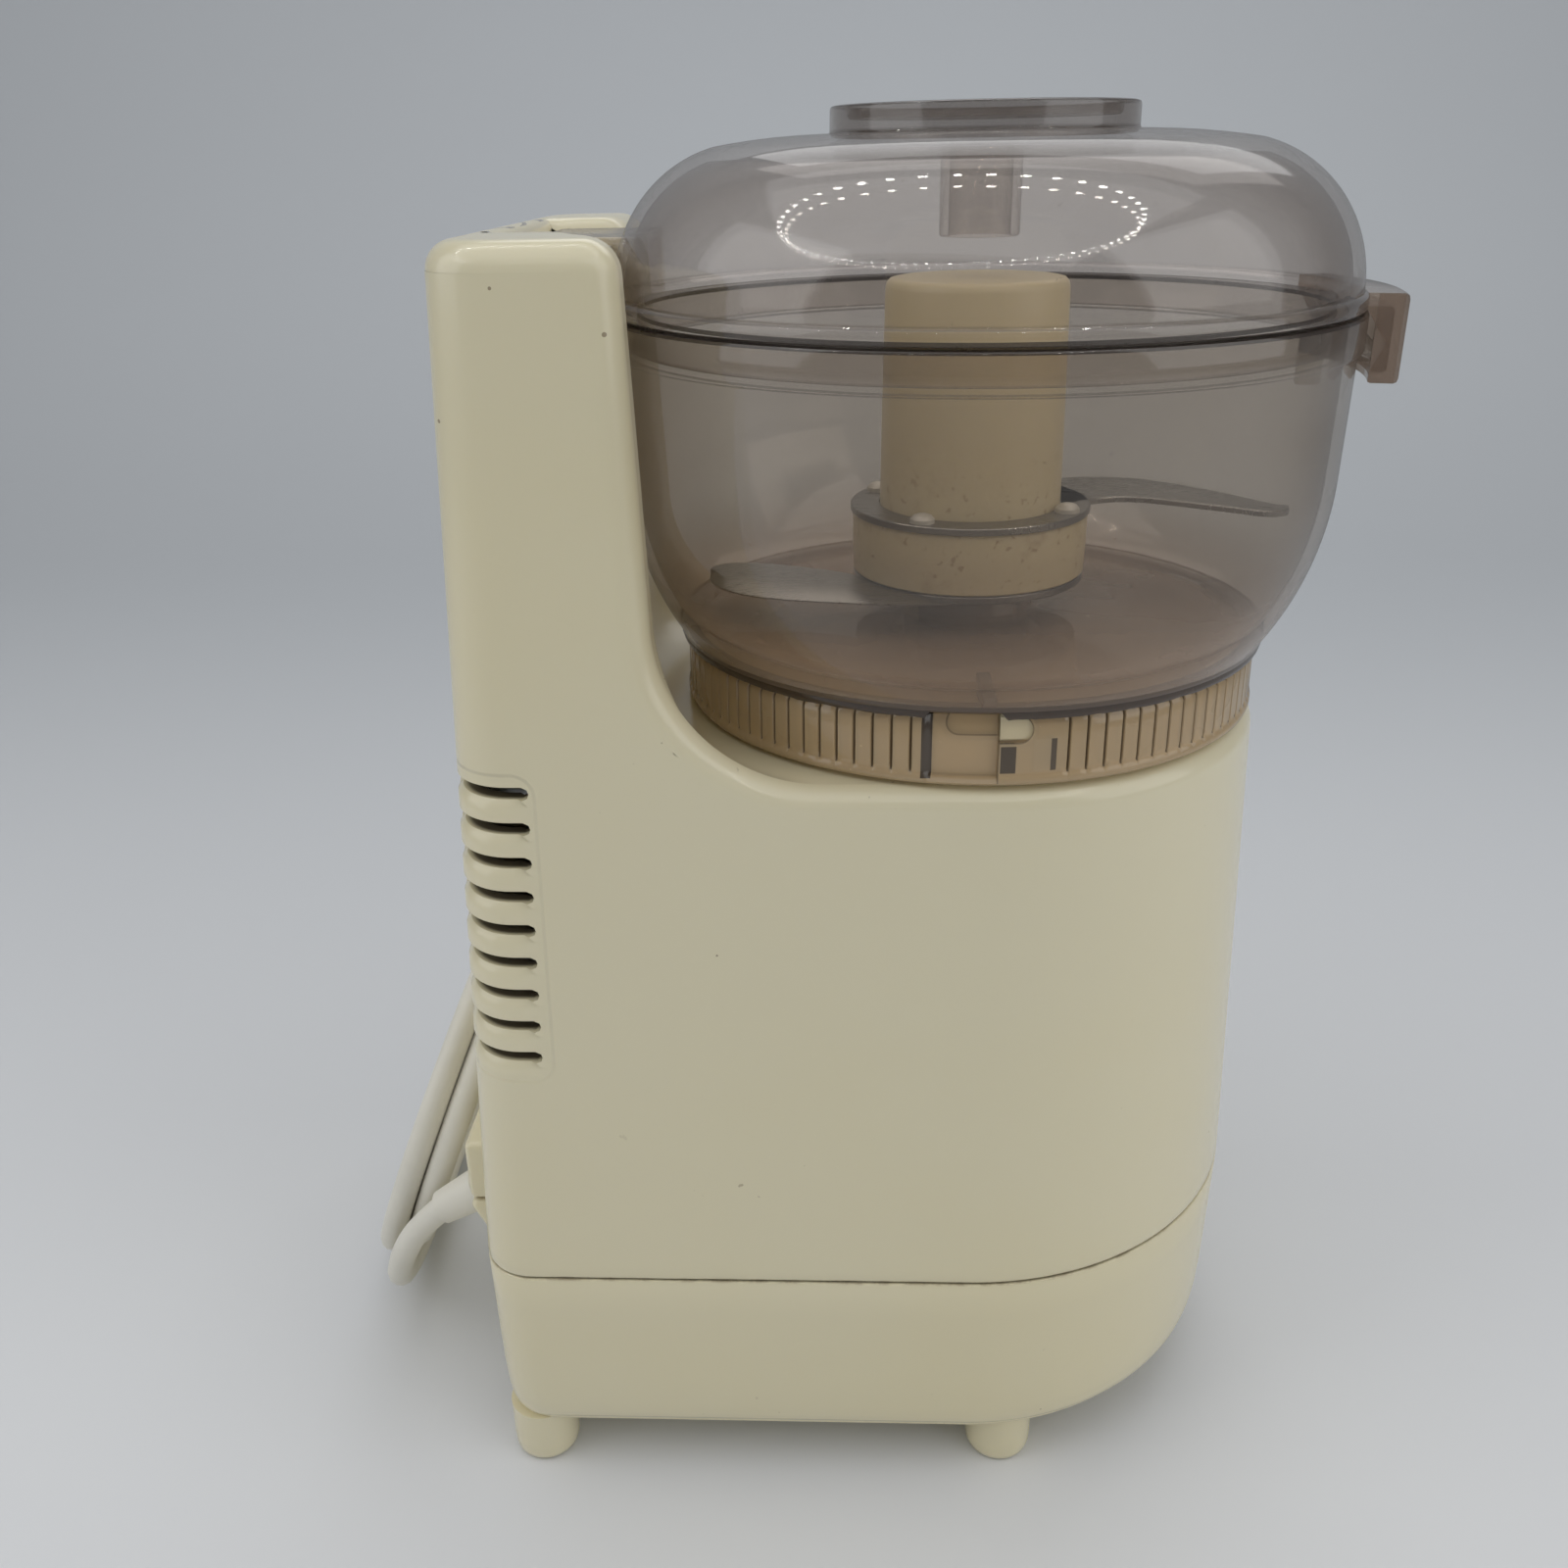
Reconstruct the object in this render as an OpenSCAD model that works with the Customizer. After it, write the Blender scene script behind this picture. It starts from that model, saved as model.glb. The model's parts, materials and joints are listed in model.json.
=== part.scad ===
// Compact food processor: housing with a switch column, belt-driven spindle,
// bowl, domed lid, two-level blade and a wound mains cord.
// Units are millimetres. +Z is up and +X points from the column to the nose.
// The origin is on the floor under the middle of the machine, cord left out.

/* [Housing] */
// Width of the housing at the parting line, and the diameter of its round nose
body_w = 134.4; // [128:0.4:144]
// Distance from the bowl axis back to the rear face at the parting line
body_rear = 107.4; // [104:0.2:116]
// Radius of the upright rear corners
rear_corner_r = 12; // [9:0.5:16]
// Inward lean of the housing walls, in degrees
wall_draft = 2.35; // [1.5:0.05:2.6]
// Wall thickness of the housing and the base
wall = 2.6; // [2:0.1:3.2]
// Height of the floor of the base above the table
foot_h = 14; // [10:0.5:18]
// Height of the line where the housing meets the base
parting_z = 60; // [56:0.5:64]
// Height of the platform that carries the bowl
platform_z = 174.5; // [172:0.5:180]
// Width of the shadow line between the housing and the base
parting_gap = 0.6; // [0.3:0.1:1]
// Radius of the sweep from the platform up into the column
sweep_r = 31; // [24:1:36]

/* [Column] */
// Height of the top of the column above the table
column_top = 271.7; // [268:0.1:276]
// Distance from the bowl axis back to the front face of the column
column_front = 62.5; // [60:0.5:66]
// Backward lean of the column's front face, in degrees
column_lean = 2; // [1:0.1:3]
// Half the width of the channel that takes the tab of the lid
channel_half = 27.3; // [26.5:0.1:29]
// Depth of that channel below the column top
channel_depth = 18.2; // [17:0.2:20]
// Wall thickness of the channel
channel_wall = 2.2; // [1.8:0.1:2.6]
// Number of ventilation slots at each rear corner
vent_count = 9; // [6:1:10]
// Height of one ventilation slot
vent_h = 2.8; // [1.8:0.1:3.4]
// Distance from one ventilation slot to the next
vent_pitch = 7.25; // [6:0.05:7.5]
// Height of the lowest ventilation slot
vent_z = 116.2; // [114:0.1:120]
// Distance from the bowl axis back to the front ends of the slots
vent_front = 88; // [86:0.5:90]

/* [Bowl] */
// Outer radius of the bowl just under its rim band
bowl_r = 73.6; // [73:0.1:74.4]
// Wall thickness of the bowl
bowl_wall = 2.3; // [1.8:0.1:2.8]
// Height of the rim of the bowl above the table
rim_z = 255.2; // [252:0.2:258]
// Height of the thicker band at the rim
band_h = 7.1; // [5:0.1:9]
// How far the band stands out from the wall
band_t = 1; // [0.6:0.1:1.4]
// Height of the straight wall below the rim, down to the rounded part
bowl_straight = 30.2; // [26:0.2:34]
// Radius of the rounded lower wall
bowl_round_r = 60; // [56:1:66]
// Outer radius of the skirt at its foot
skirt_r = 61.7; // [61:0.1:62.2]
// Height of the skirt
skirt_h = 15.5; // [14:0.1:17]
// Outer radius of the tube in the middle of the bowl
bowl_tube_r = 14.2; // [13.8:0.1:14.4]
// Height of the tube above the bowl floor
bowl_tube_h = 38; // [34:0.5:40]

/* [Lid] */
// Height of the ring on the dome above the crown
ring_rise = 4.885; // [3:0.005:9]
// Wall thickness of the lid
lid_wall = 2.2; // [1.8:0.1:2.6]
// Height of the flange of the lid
flange_h = 2.8; // [2.2:0.1:3.4]
// Radius of the rounded shoulder of the dome
dome_r = 27.6; // [25:0.1:29]
// Outer radius of the ring on top
ring_r = 29.7; // [28:0.1:32]
// Outer radius of the hollow peg over the blade
peg_r = 8; // [7:0.1:9]
// Height of the peg's lower end above the table
peg_z = 268.2; // [267.6:0.1:270]
// Half the width of the tab that enters the column
tab_half = 19.5; // [18:0.1:20]
// Height of the top of the tab above the table
tab_top = 270; // [268:0.1:271]
// Distance from the bowl axis back to the end of the tab
tab_reach = 88; // [86:0.2:89]
// How far the front hook stands out from the rim of the bowl
hook_out = 6.7; // [5.5:0.1:8]
// Half the angle that the front hook covers, in degrees
hook_half = 17; // [15:0.5:19]
// Height of the front hook
hook_h = 16.6; // [15:0.2:18]

/* [Blade] */
// Outer radius of the blade hub's tube at its foot
hub_r = 19.2; // [18.6:0.1:19.6]
// Outer radius of the hub's tube at its top
hub_top_r = 18.5; // [17.8:0.1:19]
// Height of the hub's closed top above the table
hub_top = 260.6; // [259:0.1:261]
// Radius of the hub's disc
disc_r = 24.8; // [24:0.1:25.4]
// Height of the disc's underside above the table
disc_z = 200.8; // [199:0.1:202]
// Thickness of the disc
disc_h = 11.8; // [10:0.1:13]
// Thickness of the blade steel
blade_t = 1.5; // [1.2:0.1:1.8]
// Reach of the upper blade's tip from the axis
upper_reach = 66.4; // [64:0.2:67]
// Reach of the lower blade's tip from the axis
lower_reach = 57; // [54:0.2:58]
// How far the blade can rise before it meets the peg
blade_lift = 7; // [5:0.5:7]

/* [Drive] */
// Radius of the drive spindle
spindle_r = 4; // [3.5:0.1:4.5]
// Distance from the bowl axis back to the motor axis
motor_back = 62; // [60:0.5:64]
// Radius of the motor shaft
motor_shaft_r = 3; // [2.5:0.1:3.5]
// Radius of the rotor
rotor_r = 16; // [14:0.5:16.5]
// Running gap between rotor and stator
air_gap = 0.5; // [0.3:0.1:0.8]
// Width of the square stator stack
stator_w = 58; // [54:1:60]
// Height of the stator stack
stator_h = 35; // [30:1:38]
// Pitch of the belt teeth
belt_pitch = 3; // [2.8:0.1:3]
// Teeth on the motor pulley
motor_teeth = 14; // [12:1:16]
// Teeth on the spindle pulley
spindle_teeth = 56; // [52:1:58]
// Width of the belt
belt_w = 7; // [6:0.5:8]
// Height of the chassis plate above the table
chassis_z = 50; // [49:0.5:52]
// Thickness of the chassis plate
chassis_t = 3; // [2:0.5:4]

/* [Cord] */
// Diameter of the mains cord
cord_d = 6.4; // [6:0.1:6.6]

/* [Hidden] */
$fn = 64;
gap = 0.3;        // clearance between pieces that stay apart
run = 0.05;       // radial clearance of a shaft in its bush
eps = 0.01;

// Housing
half_w = body_w / 2;
edge_r = 5;                       // rounding of the top edges
front_corner_r = 6;               // upright front corners of the column
function lean_in(z) = (z - parting_z) * tan(wall_draft);
function front_at(z) = column_front + (z - platform_z - sweep_r) * tan(column_lean);
column_floor = column_top - channel_depth;
channel_rear = tab_reach + 3;
recess_gap = 1.2;                 // space between the column and the bowl

// Rear block around the cord outlet
block_y = -33.4;
block_w = 18;
block_reach = 115;
block_top = 76;
block_foot = 38;
relief_tilt = 32;
relief_x = -114.6;
relief_z = 56.5;
relief_in = 10;
relief_out = 12;
relief_bore_r = cord_d / 2 + 0.1;
relief_neck_r = 5;

// Bowl
seat_z = platform_z + 1;          // foot of the skirt
skirt_top = seat_z + skirt_h;
skirt_top_r = skirt_r - 0.6;
skirt_wall = 1.9;
floor_t = 2.4;
floor_z = skirt_top + floor_t - 1;     // inner floor of the bowl
round_z = rim_z - bowl_straight;
round_c = bowl_r - 0.4 - bowl_round_r;
floor_outer_r = round_c + sqrt(pow(bowl_round_r, 2) - pow(round_z - skirt_top, 2));
tube_bore_r = bowl_tube_r - 2.2;
bowl_rim_r = bowl_r + band_t;
hook_r = bowl_rim_r + hook_out;
tongue_t = 4;
tongue_z = rim_z - 10.8;
tongue_r = hook_r - 3.6;
tongue_from = -8.5;
tongue_to = 14;

// Bayonet between the collar and the skirt
collar_r = skirt_r - skirt_wall - 1.2;
collar_wall = 2.4;
collar_top = skirt_top - 1.4;
lug_h = 5.4;
lug_z = skirt_top - 8;
lug_from = 1.7;
lug_to = 8.4;
window_from = -8.6;
window_to = 8.8;
lead_from = -10.7;
lead_to = 1.1;
guard_r = tube_bore_r - 1.6;
guard_h = 26;

// Lid
flange_z = rim_z + gap;
dome_c_z = flange_z + flange_h + 0.2;
dome_c_r = bowl_r - 0.4 - dome_r;
flange_r = bowl_r + 0.6;
spigot_r = bowl_r - bowl_wall - 0.4;
spigot_h = 6.5;
shoulder = 76;                    // angle where the dome meets the crown
crown_r = dome_c_r + dome_r * cos(shoulder);
crown_z = dome_c_z + dome_r * sin(shoulder);
crown_drop = 0.0036;
function crown(r) = crown_z + crown_drop * (pow(crown_r - ring_r, 2) - pow(r - ring_r, 2));
lid_top = crown(ring_r) + ring_rise;
dish_z = lid_top - 2.4;
hook_wall = 2.3;
hook_in = bowl_rim_r + 1.2;

// Blade
plate_z = disc_z + disc_h;
socket_z = floor_z + bowl_tube_h + 5.2;
socket_h = 16;
socket_r = 6.4;
hub_bore_r = bowl_tube_r + 0.6;
rivet_r = 2.6;
rivet_at = (hub_r + disc_r) / 2 + 0.2;
blade_gap = 0.05;

// Drive
bush_r = spindle_r + 4;
boss_r = bush_r + 3;
boss_h = 26;
upper_bush_h = 12;
chassis_top = chassis_z + chassis_t;
chassis_half = 38;
chassis_rear = motor_back + 36;
chassis_front = 25;
chassis_posts = [[-chassis_rear + 7, 32], [-chassis_rear + 7, -32],
                 [chassis_front - 7, 32], [chassis_front - 7, -32]];
pulley_gap = 2;
belt_z = chassis_z - pulley_gap - 2 - belt_w;
function pitch_r(teeth) = teeth * belt_pitch / (2 * PI);
motor_bush_r = motor_shaft_r + 3;
bell_r = stator_w / 2 + 2;
bell_h = 25;
bell_floor = 4;
stator_z = chassis_top + bell_h;
stator_top = stator_z + stator_h;
yoke_z = stator_top + 25;
yoke_t = 4;
comm_r = 9;
comm_z = stator_top + 11;
comm_h = 12;
stud_at = stator_w / 2 - 4;
stud_r = 2;
coil_w = 6;
coil_t = coil_w - 3.6;
yoke_leg = stud_at - stud_r - 1;   // inner face of the yoke's legs
fan_r = 22;
fan_h = 8;
fan_z = chassis_top + bell_floor + 8.4;

// Interlock switch beside the channel
slider_x = -(tab_reach - 6);
slider_w = 8;
slider_z = tab_top - 8;
slider_free = 7.3;                // travel from rest towards the open channel
slider_nose = tab_half + 0.4;
slider_flange = channel_half + channel_wall + slider_free + gap;
switch_h = 9;
switch_z = slider_z - 18;
shelf_t = 2.4;

// Cord and coil
coil_r = 46;
coil_bundle_r = 8;
coil_lean = 21.25;
coil_y = 24;
coil_z = coil_r * cos(coil_lean) + coil_bundle_r + 0.1;
coil_x = -132.2;
cord_route = [
    [-124.8, -33.4, 50.1], [-129.8, -33.3, 46.0], [-133.7, -32.6, 41.0],
    [-137.3, -31.0, 33.8], [-140.4, -27.8, 26.0], [-143.0, -22.4, 17.8],
    [-145.2, -14.2, 10.6], [-146.4, -4.0, 5.9], [-146.9, 7.0, 4.1],
    [-147.0, 16.0, 3.85], [-147.0, 24.0, 3.82]];
tail_route = [
    [-153.15, 24.0, 6.22], [-153.3, 32.0, 5.0], [-153.2, 40.0, 3.7], [-151.4, 48.0, 3.4],
    [-147.4, 55.4, 3.4], [-141.0, 61.4, 3.4], [-132.5, 66.0, 3.4], [-123.0, 70.0, 3.4],
    [-113.5, 74.0, 3.4], [-103.5, 78.0, 3.6], [-94.0, 81.2, 4.4], [-84.0, 82.6, 5.8],
    [-74.0, 82.8, 7.1]];
plug_x = -74;
plug_y = 82.8;
plug_z = 7.1;
plug_l = 24;
plug_w = 25;
plug_t = 14;
plug_neck = 12;

// Fasteners
screw_posts = [[-86, 1], [-86, -1], [38, 1], [38, -1]];
post_r = 4.4;
screw_r = 1.9;
head_r = 3.6;
feet_at = [[-98.6, 56.8], [-98.6, -56.8], [9.7, 54.6], [9.7, -54.6]];
foot_r = 7.7;

// The bowl axis stands this far in front of the middle of the machine
axis_x = (block_reach - hook_r) / 2;

module at_bowl() { translate([axis_x, 0, 0]) children(); }
module at_motor() { translate([axis_x - motor_back, 0, 0]) children(); }

function arc(c, r, a0, a1, n = 12) =
    [for (i = [0:n]) let (a = a0 + (a1 - a0) * i / n) [c[0] + r * cos(a), c[1] + r * sin(a)]];
function unit(v) = v / norm(v);

module ring(ro, ri, h) {
    difference() {
        cylinder(r = ro, h = h);
        translate([0, 0, -1]) cylinder(r = ri, h = h + 2);
    }
}

module sector(points, from, to) {
    rotate([0, 0, from]) rotate_extrude(angle = to - from) polygon(points);
}

// A round tube swept along a list of points
function sweep_dirs(p) = [for (i = [0:len(p) - 1])
    unit(p[min(i + 1, len(p) - 1)] - p[max(i - 1, 0)])];
function square_to(u, t) = unit(u - (u * t) * t);
function sweep_ups(t, u, i = 0) =
    i == len(t) ? [] : let (v = square_to(u, t[i])) concat([v], sweep_ups(t, v, i + 1));
function smooth_point(a, b, c, d, t) =
    0.5 * (2 * b + (c - a) * t + (2 * a - 5 * b + 4 * c - d) * t * t
    + (3 * b - a - 3 * c + d) * t * t * t);
function smooth_path(p, n) = concat([for (i = [0:len(p) - 2]) for (k = [0:n - 1])
    smooth_point(p[max(i - 1, 0)], p[i], p[i + 1], p[min(i + 2, len(p) - 1)], k / n)],
    [p[len(p) - 1]]);
module swept_tube(p, r, sides = 10) {
    dirs = sweep_dirs(p);
    ups = sweep_ups(dirs, [0.13, 0.31, 0.94]);
    points = [for (i = [0:len(p) - 1]) for (k = [0:sides - 1])
        p[i] + r * (cos(360 * k / sides) * ups[i] + sin(360 * k / sides) * cross(dirs[i], ups[i]))];
    sides_faces = [for (i = [0:len(p) - 2]) for (k = [0:sides - 1]) let (m = (k + 1) % sides)
        [i * sides + k, (i + 1) * sides + k, (i + 1) * sides + m, i * sides + m]];
    first_cap = [[for (k = [0:sides - 1]) k]];
    last_cap = [[for (k = [0:sides - 1]) (len(p) - 1) * sides + sides - 1 - k]];
    polyhedron(points, concat(sides_faces, first_cap, last_cap), convexity = 8);
}

// ---- Housing ----

// Thin plate of the housing's plan at height z, drawn in by i
module rear_corners(z, i, out = 0) {
    r = rear_corner_r - i * 0.5;
    for (s = [-1, 1])
        translate([-(body_rear - lean_in(z) - i - r), s * (half_w - lean_in(z) - i - r), z])
            cylinder(r = r, h = eps, $fn = 32);
}
module plan_layer(z, i) {
    translate([0, 0, z]) cylinder(r = half_w - lean_in(z) - i, h = eps, $fn = 96);
    rear_corners(z, i);
}
module column_layer(z, i) {
    r = front_corner_r - i * 0.5;
    rear_corners(z, i);
    for (s = [-1, 1])
        translate([-(front_at(z) + i + r), s * (half_w - lean_in(z) - i - r), z])
            cylinder(r = r, h = eps, $fn = 32);
}
module lower_form(i, foot, top) {
    hull() {
        plan_layer(foot, i);
        plan_layer(top - edge_r, i);
        plan_layer(top - edge_r * 0.3, i + edge_r * 0.28);
        plan_layer(top - eps, i + edge_r * 0.9);
    }
}
module column_form(i, foot, top) {
    hull() {
        column_layer(foot, i);
        column_layer(top - edge_r, i);
        column_layer(top - edge_r * 0.3, i + edge_r * 0.28);
        column_layer(top - eps, i + edge_r * 0.9);
    }
}
module column_sweep() {
    intersection() {
        translate([0, half_w, 0]) rotate([90, 0, 0]) linear_extrude(height = body_w)
            polygon(concat([[-column_front - 12, platform_z - 4], [-column_front + sweep_r, platform_z - 4]],
                arc([-column_front + sweep_r, platform_z + sweep_r], sweep_r, 270, 180, 16),
                [[-column_front - 12, platform_z + sweep_r]]));
        hull() {
            plan_layer(platform_z - edge_r, 0);
            plan_layer(column_top, 0);
        }
    }
}

// Space that the bowl and the lid turn in, with clearance c
module bowl_space(c) {
    rotate_extrude() polygon(concat(
        [[0, platform_z], [skirt_r + c, platform_z], [skirt_r + c, skirt_top - 2]],
        [for (z = [skirt_top:3:round_z])
            [round_c + sqrt(pow(bowl_round_r, 2) - pow(round_z - z, 2)) + c + 0.6, z]],
        [[bowl_rim_r + c, round_z + 3], [bowl_rim_r + c, column_top + 5], [0, column_top + 5]]));
}

module block_upper(i, from) {
    w = block_w / 2 - i;
    translate([0, block_y + w, 0]) rotate([90, 0, 0]) linear_extrude(height = 2 * w)
        polygon([[-body_rear + wall + 2, from], [-body_rear + wall + 2, block_top - i],
            [-block_reach + i + 1.6, block_top - i], [-block_reach + i, block_top - i - 1.6],
            [-block_reach + i, from]]);
}
module block_lower(i, to) {
    w = block_w / 2 - i;
    translate([0, block_y + w, 0]) rotate([90, 0, 0]) linear_extrude(height = 2 * w)
        polygon([[-body_rear + wall + 2, block_foot + i], [-body_rear + wall + 2, to],
            [-block_reach + i, to], [-block_reach + i, block_foot + i + 10], [-body_rear + 1, block_foot + i]]);
}
module relief_axis() {
    translate([relief_x, block_y, relief_z]) rotate([0, -90 - relief_tilt, 0]) children();
}
module relief_hole() {
    relief_axis() translate([0, 0, -relief_in - 4])
        cylinder(r = relief_neck_r + 0.4, h = relief_in + relief_out + 4);
}

module vents() {
    slot_half = half_w + 4;
    inner = half_w - rear_corner_r - 6;
    for (s = [-1, 1]) for (k = [0:vent_count - 1])
        translate([-(body_rear + 4), s > 0 ? inner : -slot_half, vent_z + k * vent_pitch - vent_h / 2])
            cube([body_rear + 4 - vent_front, slot_half - inner, vent_h]);
}

module collar() {
    translate([0, 0, platform_z - eps]) ring(collar_r, collar_r - collar_wall, collar_top - platform_z);
    for (k = [0:2]) rotate([0, 0, 120 * k - 90])
        sector([[collar_r - 1, lug_z], [skirt_r - 0.9, lug_z], [skirt_r - 0.9, lug_z + lug_h],
            [collar_r - 1, lug_z + lug_h]],
            asin(lug_from / skirt_r), asin(lug_to / skirt_r));
    translate([0, 0, platform_z - eps]) ring(guard_r, spindle_r + 1.5, guard_h);
}

module upper_housing() {
    shelf_from = channel_half + channel_wall - 0.4;
    color("ivory") at_bowl() union() {
        difference() {
            union() {
                difference() {
                    union() {
                        lower_form(0, parting_z, platform_z);
                        column_form(0, parting_z + 20, column_top);
                        column_sweep();
                    }
                    lower_form(wall, parting_z - 1, platform_z - wall);
                    difference() {
                        column_form(wall, parting_z + 18, column_top - wall);
                        bowl_space(recess_gap + wall);
                    }
                }
                // channel for the tab of the lid
                translate([-channel_rear - channel_wall, -channel_half - channel_wall,
                        column_floor - channel_wall])
                    cube([channel_rear + channel_wall - column_front - 3,
                        2 * (channel_half + channel_wall), channel_depth + channel_wall - wall]);
                // shelf that carries the switch
                translate([slider_x - 8, shelf_from, switch_z - shelf_t])
                    cube([16, half_w - lean_in(switch_z) - wall / 2 - shelf_from, shelf_t]);
                // boss for the upper spindle bush
                translate([0, 0, platform_z - boss_h]) cylinder(r = boss_r, h = boss_h - 1);
                // screw bosses beside the walls
                for (p = screw_posts)
                    translate([p[0], p[1] * post_y(p[0]), parting_z + gap])
                        cylinder(r = post_r, h = 26);
                block_upper(0, parting_z);
            }
            bowl_space(recess_gap);
            translate([-channel_rear, -channel_half, column_floor])
                cube([channel_rear - 40, 2 * channel_half, channel_depth + 1]);
            // wide lead-in along the edges of the channel
            translate([-channel_rear, 0, 0]) rotate([90, 0, 90]) linear_extrude(height = channel_rear - 40)
                polygon([[-channel_half, column_top - 4], [-channel_half - 4, column_top + 0.1],
                    [channel_half + 4, column_top + 0.1], [channel_half, column_top - 4]]);
            // window for the interlock slider
            translate([slider_x - slider_w / 2 - gap, channel_half - 1, slider_z - slider_w / 2 - gap])
                cube([slider_w + 2 * gap, channel_wall + 2, slider_w + 2 * gap]);
            block_upper(wall, parting_z - 1);
            relief_hole();
            vents();
            translate([0, 0, platform_z - boss_h - 1]) cylinder(r = bush_r, h = upper_bush_h + 1);
            translate([0, 0, platform_z - boss_h]) cylinder(r = spindle_r + 1.5, h = boss_h + 2);
            for (p = screw_posts)
                translate([p[0], p[1] * post_y(p[0]), parting_z - 1]) cylinder(r = screw_r - 0.1, h = 18);
        }
        collar();
    }
}

// Half distance between a pair of screw posts, tucked against the wall
function post_y(x) = (x > 0 ? sqrt(pow(half_w, 2) - x * x) : half_w) - wall - post_r - 1.2;

module base_layer(z, i) {
    translate([0, 0, z]) cylinder(r = half_w - i, h = eps, $fn = 96);
    r = rear_corner_r - i * 0.5;
    for (s = [-1, 1])
        translate([-(body_rear - i - r), s * (half_w - i - r), z]) cylinder(r = r, h = eps, $fn = 32);
}
module base_form(i, foot, top) {
    hull() {
        base_layer(top, i);
        base_layer(foot + 4, i + 0.9);
        base_layer(foot + 1.2, i + 1.6);
        base_layer(foot, i + 3.2);
    }
}

module base_outline(i) {
    r = rear_corner_r - i * 0.5;
    hull() {
        circle(r = half_w - i, $fn = 96);
        for (s = [-1, 1]) translate([-(body_rear - i - r), s * (half_w - i - r)]) circle(r = r, $fn = 32);
    }
}

module base_tray() {
    lip = 3;
    edge = parting_z - parting_gap;
    color("ivory") at_bowl() difference() {
        union() {
            difference() {
                union() {
                    base_form(0, foot_h, edge);
                    // lip that locates the housing
                    translate([0, 0, edge - 2]) linear_extrude(height = lip + 2) base_outline(wall + 0.2);
                }
                base_form(wall, foot_h + wall, edge);
                translate([0, 0, edge - 3]) linear_extrude(height = lip + 4) base_outline(wall + 1.6);
            }
            for (p = chassis_posts) translate([p[0], p[1], foot_h + 1])
                cylinder(r = 5, h = chassis_z - foot_h - 1);
            for (p = screw_posts) translate([p[0], p[1] * post_y(p[0]), foot_h + 1])
                cylinder(r = post_r, h = parting_z - foot_h - 1);
            block_lower(0, edge);
        }
        block_lower(wall, edge + 4);
        // room in the lip for the housing's rear block and screw bosses
        translate([-body_rear, block_y - block_w / 2 - gap, parting_z]) cube([8, block_w + 2 * gap, 4]);
        for (p = screw_posts) translate([p[0], p[1] * post_y(p[0]), parting_z + eps])
            cylinder(r = post_r + 0.5, h = 4);
        relief_hole();
        for (p = chassis_posts) translate([p[0], p[1], chassis_z - 14]) cylinder(r = screw_r - 0.1, h = 20);
        for (p = screw_posts) translate([p[0], p[1] * post_y(p[0]), foot_h - 1]) {
            cylinder(r = screw_r + 0.2, h = 60);
            cylinder(r = head_r + 0.2, h = 19);
        }
        for (p = feet_at) translate([p[0], p[1], foot_h - 1]) cylinder(r = 3.1, h = wall + 4);
        // cooling slots in the floor under the motor
        for (k = [-3:3]) translate([-motor_back + k * 6 - 1.25, -18, foot_h - 1])
            cube([2.5, 36, wall + 2]);
    }
}

module feet() {
    color("ivory") at_bowl() for (p = feet_at) translate([p[0], p[1], 0]) {
        cylinder(r1 = foot_r - 1.2, r2 = foot_r - 0.4, h = 1.4);
        translate([0, 0, 1.4]) cylinder(r1 = foot_r - 0.4, r2 = foot_r, h = foot_h - 1.4 - eps);
        translate([0, 0, foot_h - 1]) cylinder(r = 3, h = wall + 2);
    }
}

module screw(head_z, length) {
    translate([0, 0, head_z]) {
        difference() {
            cylinder(r = head_r, h = 2.4);
            translate([0, 0, -1]) cylinder(r = 1.6, h = 2.2, $fn = 6);
        }
        cylinder(r = screw_r - 0.15, h = length);
    }
}
module base_screws() {
    color("silver") at_bowl() for (p = screw_posts)
        translate([p[0], p[1] * post_y(p[0]), 0]) screw(foot_h + 18 - 2.4 - gap, parting_z - foot_h - 4);
}

// ---- Chassis and motor ----

module chassis_plate() {
    color("gainsboro") at_bowl() difference() {
        translate([-chassis_rear, -chassis_half, chassis_z + eps])
            cube([chassis_rear + chassis_front, 2 * chassis_half, chassis_t - eps]);
        translate([0, 0, chassis_z - 1]) cylinder(r = bush_r, h = chassis_t + 2);
        translate([-motor_back, 0, chassis_z - 1]) cylinder(r = motor_bush_r + 1, h = chassis_t + 2);
        for (s = [-1, 1]) translate([-motor_back, s * stud_at, chassis_z - 1])
            cylinder(r = stud_r, h = chassis_t + 2);
        for (p = chassis_posts) translate([p[0], p[1], chassis_z - 1])
            cylinder(r = screw_r + 0.2, h = chassis_t + 2);
    }
}
module chassis_screws() {
    color("silver") at_bowl() for (p = chassis_posts) translate([p[0], p[1], 0]) {
        translate([0, 0, chassis_top]) cylinder(r = head_r, h = 2.2);
        translate([0, 0, chassis_top - 14]) cylinder(r = screw_r - 0.15, h = 14);
    }
}

module stator_core() {
    slot = rotor_r + air_gap;
    color("slategray") at_motor() translate([0, 0, stator_z]) difference() {
        translate([-stator_w / 2, -stator_w / 2, 0]) cube([stator_w, stator_w, stator_h]);
        translate([0, 0, -1]) cylinder(r = slot, h = stator_h + 2);
        for (s = [-1, 1]) translate([-13, s > 0 ? slot - 5 : -slot - coil_w + 3, -1])
            cube([26, coil_w + 2, stator_h + 2]);
        for (s = [-1, 1]) translate([0, s * stud_at, -1]) cylinder(r = stud_r + 0.2, h = stator_h + 2);
    }
}
module field_coils() {
    y0 = rotor_r + air_gap + 0.2;
    color("chocolate") at_motor() for (s = [-1, 1]) translate([0, s * (y0 + 0.1 + coil_t / 2), stator_z])
        union() {
            translate([-12.8, -coil_t / 2, -1.6]) cube([25.6, coil_t, stator_h + 3.2]);
            translate([-15, -coil_t / 2, stator_h + gap]) cube([30, coil_t, 6]);
        }
}
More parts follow.
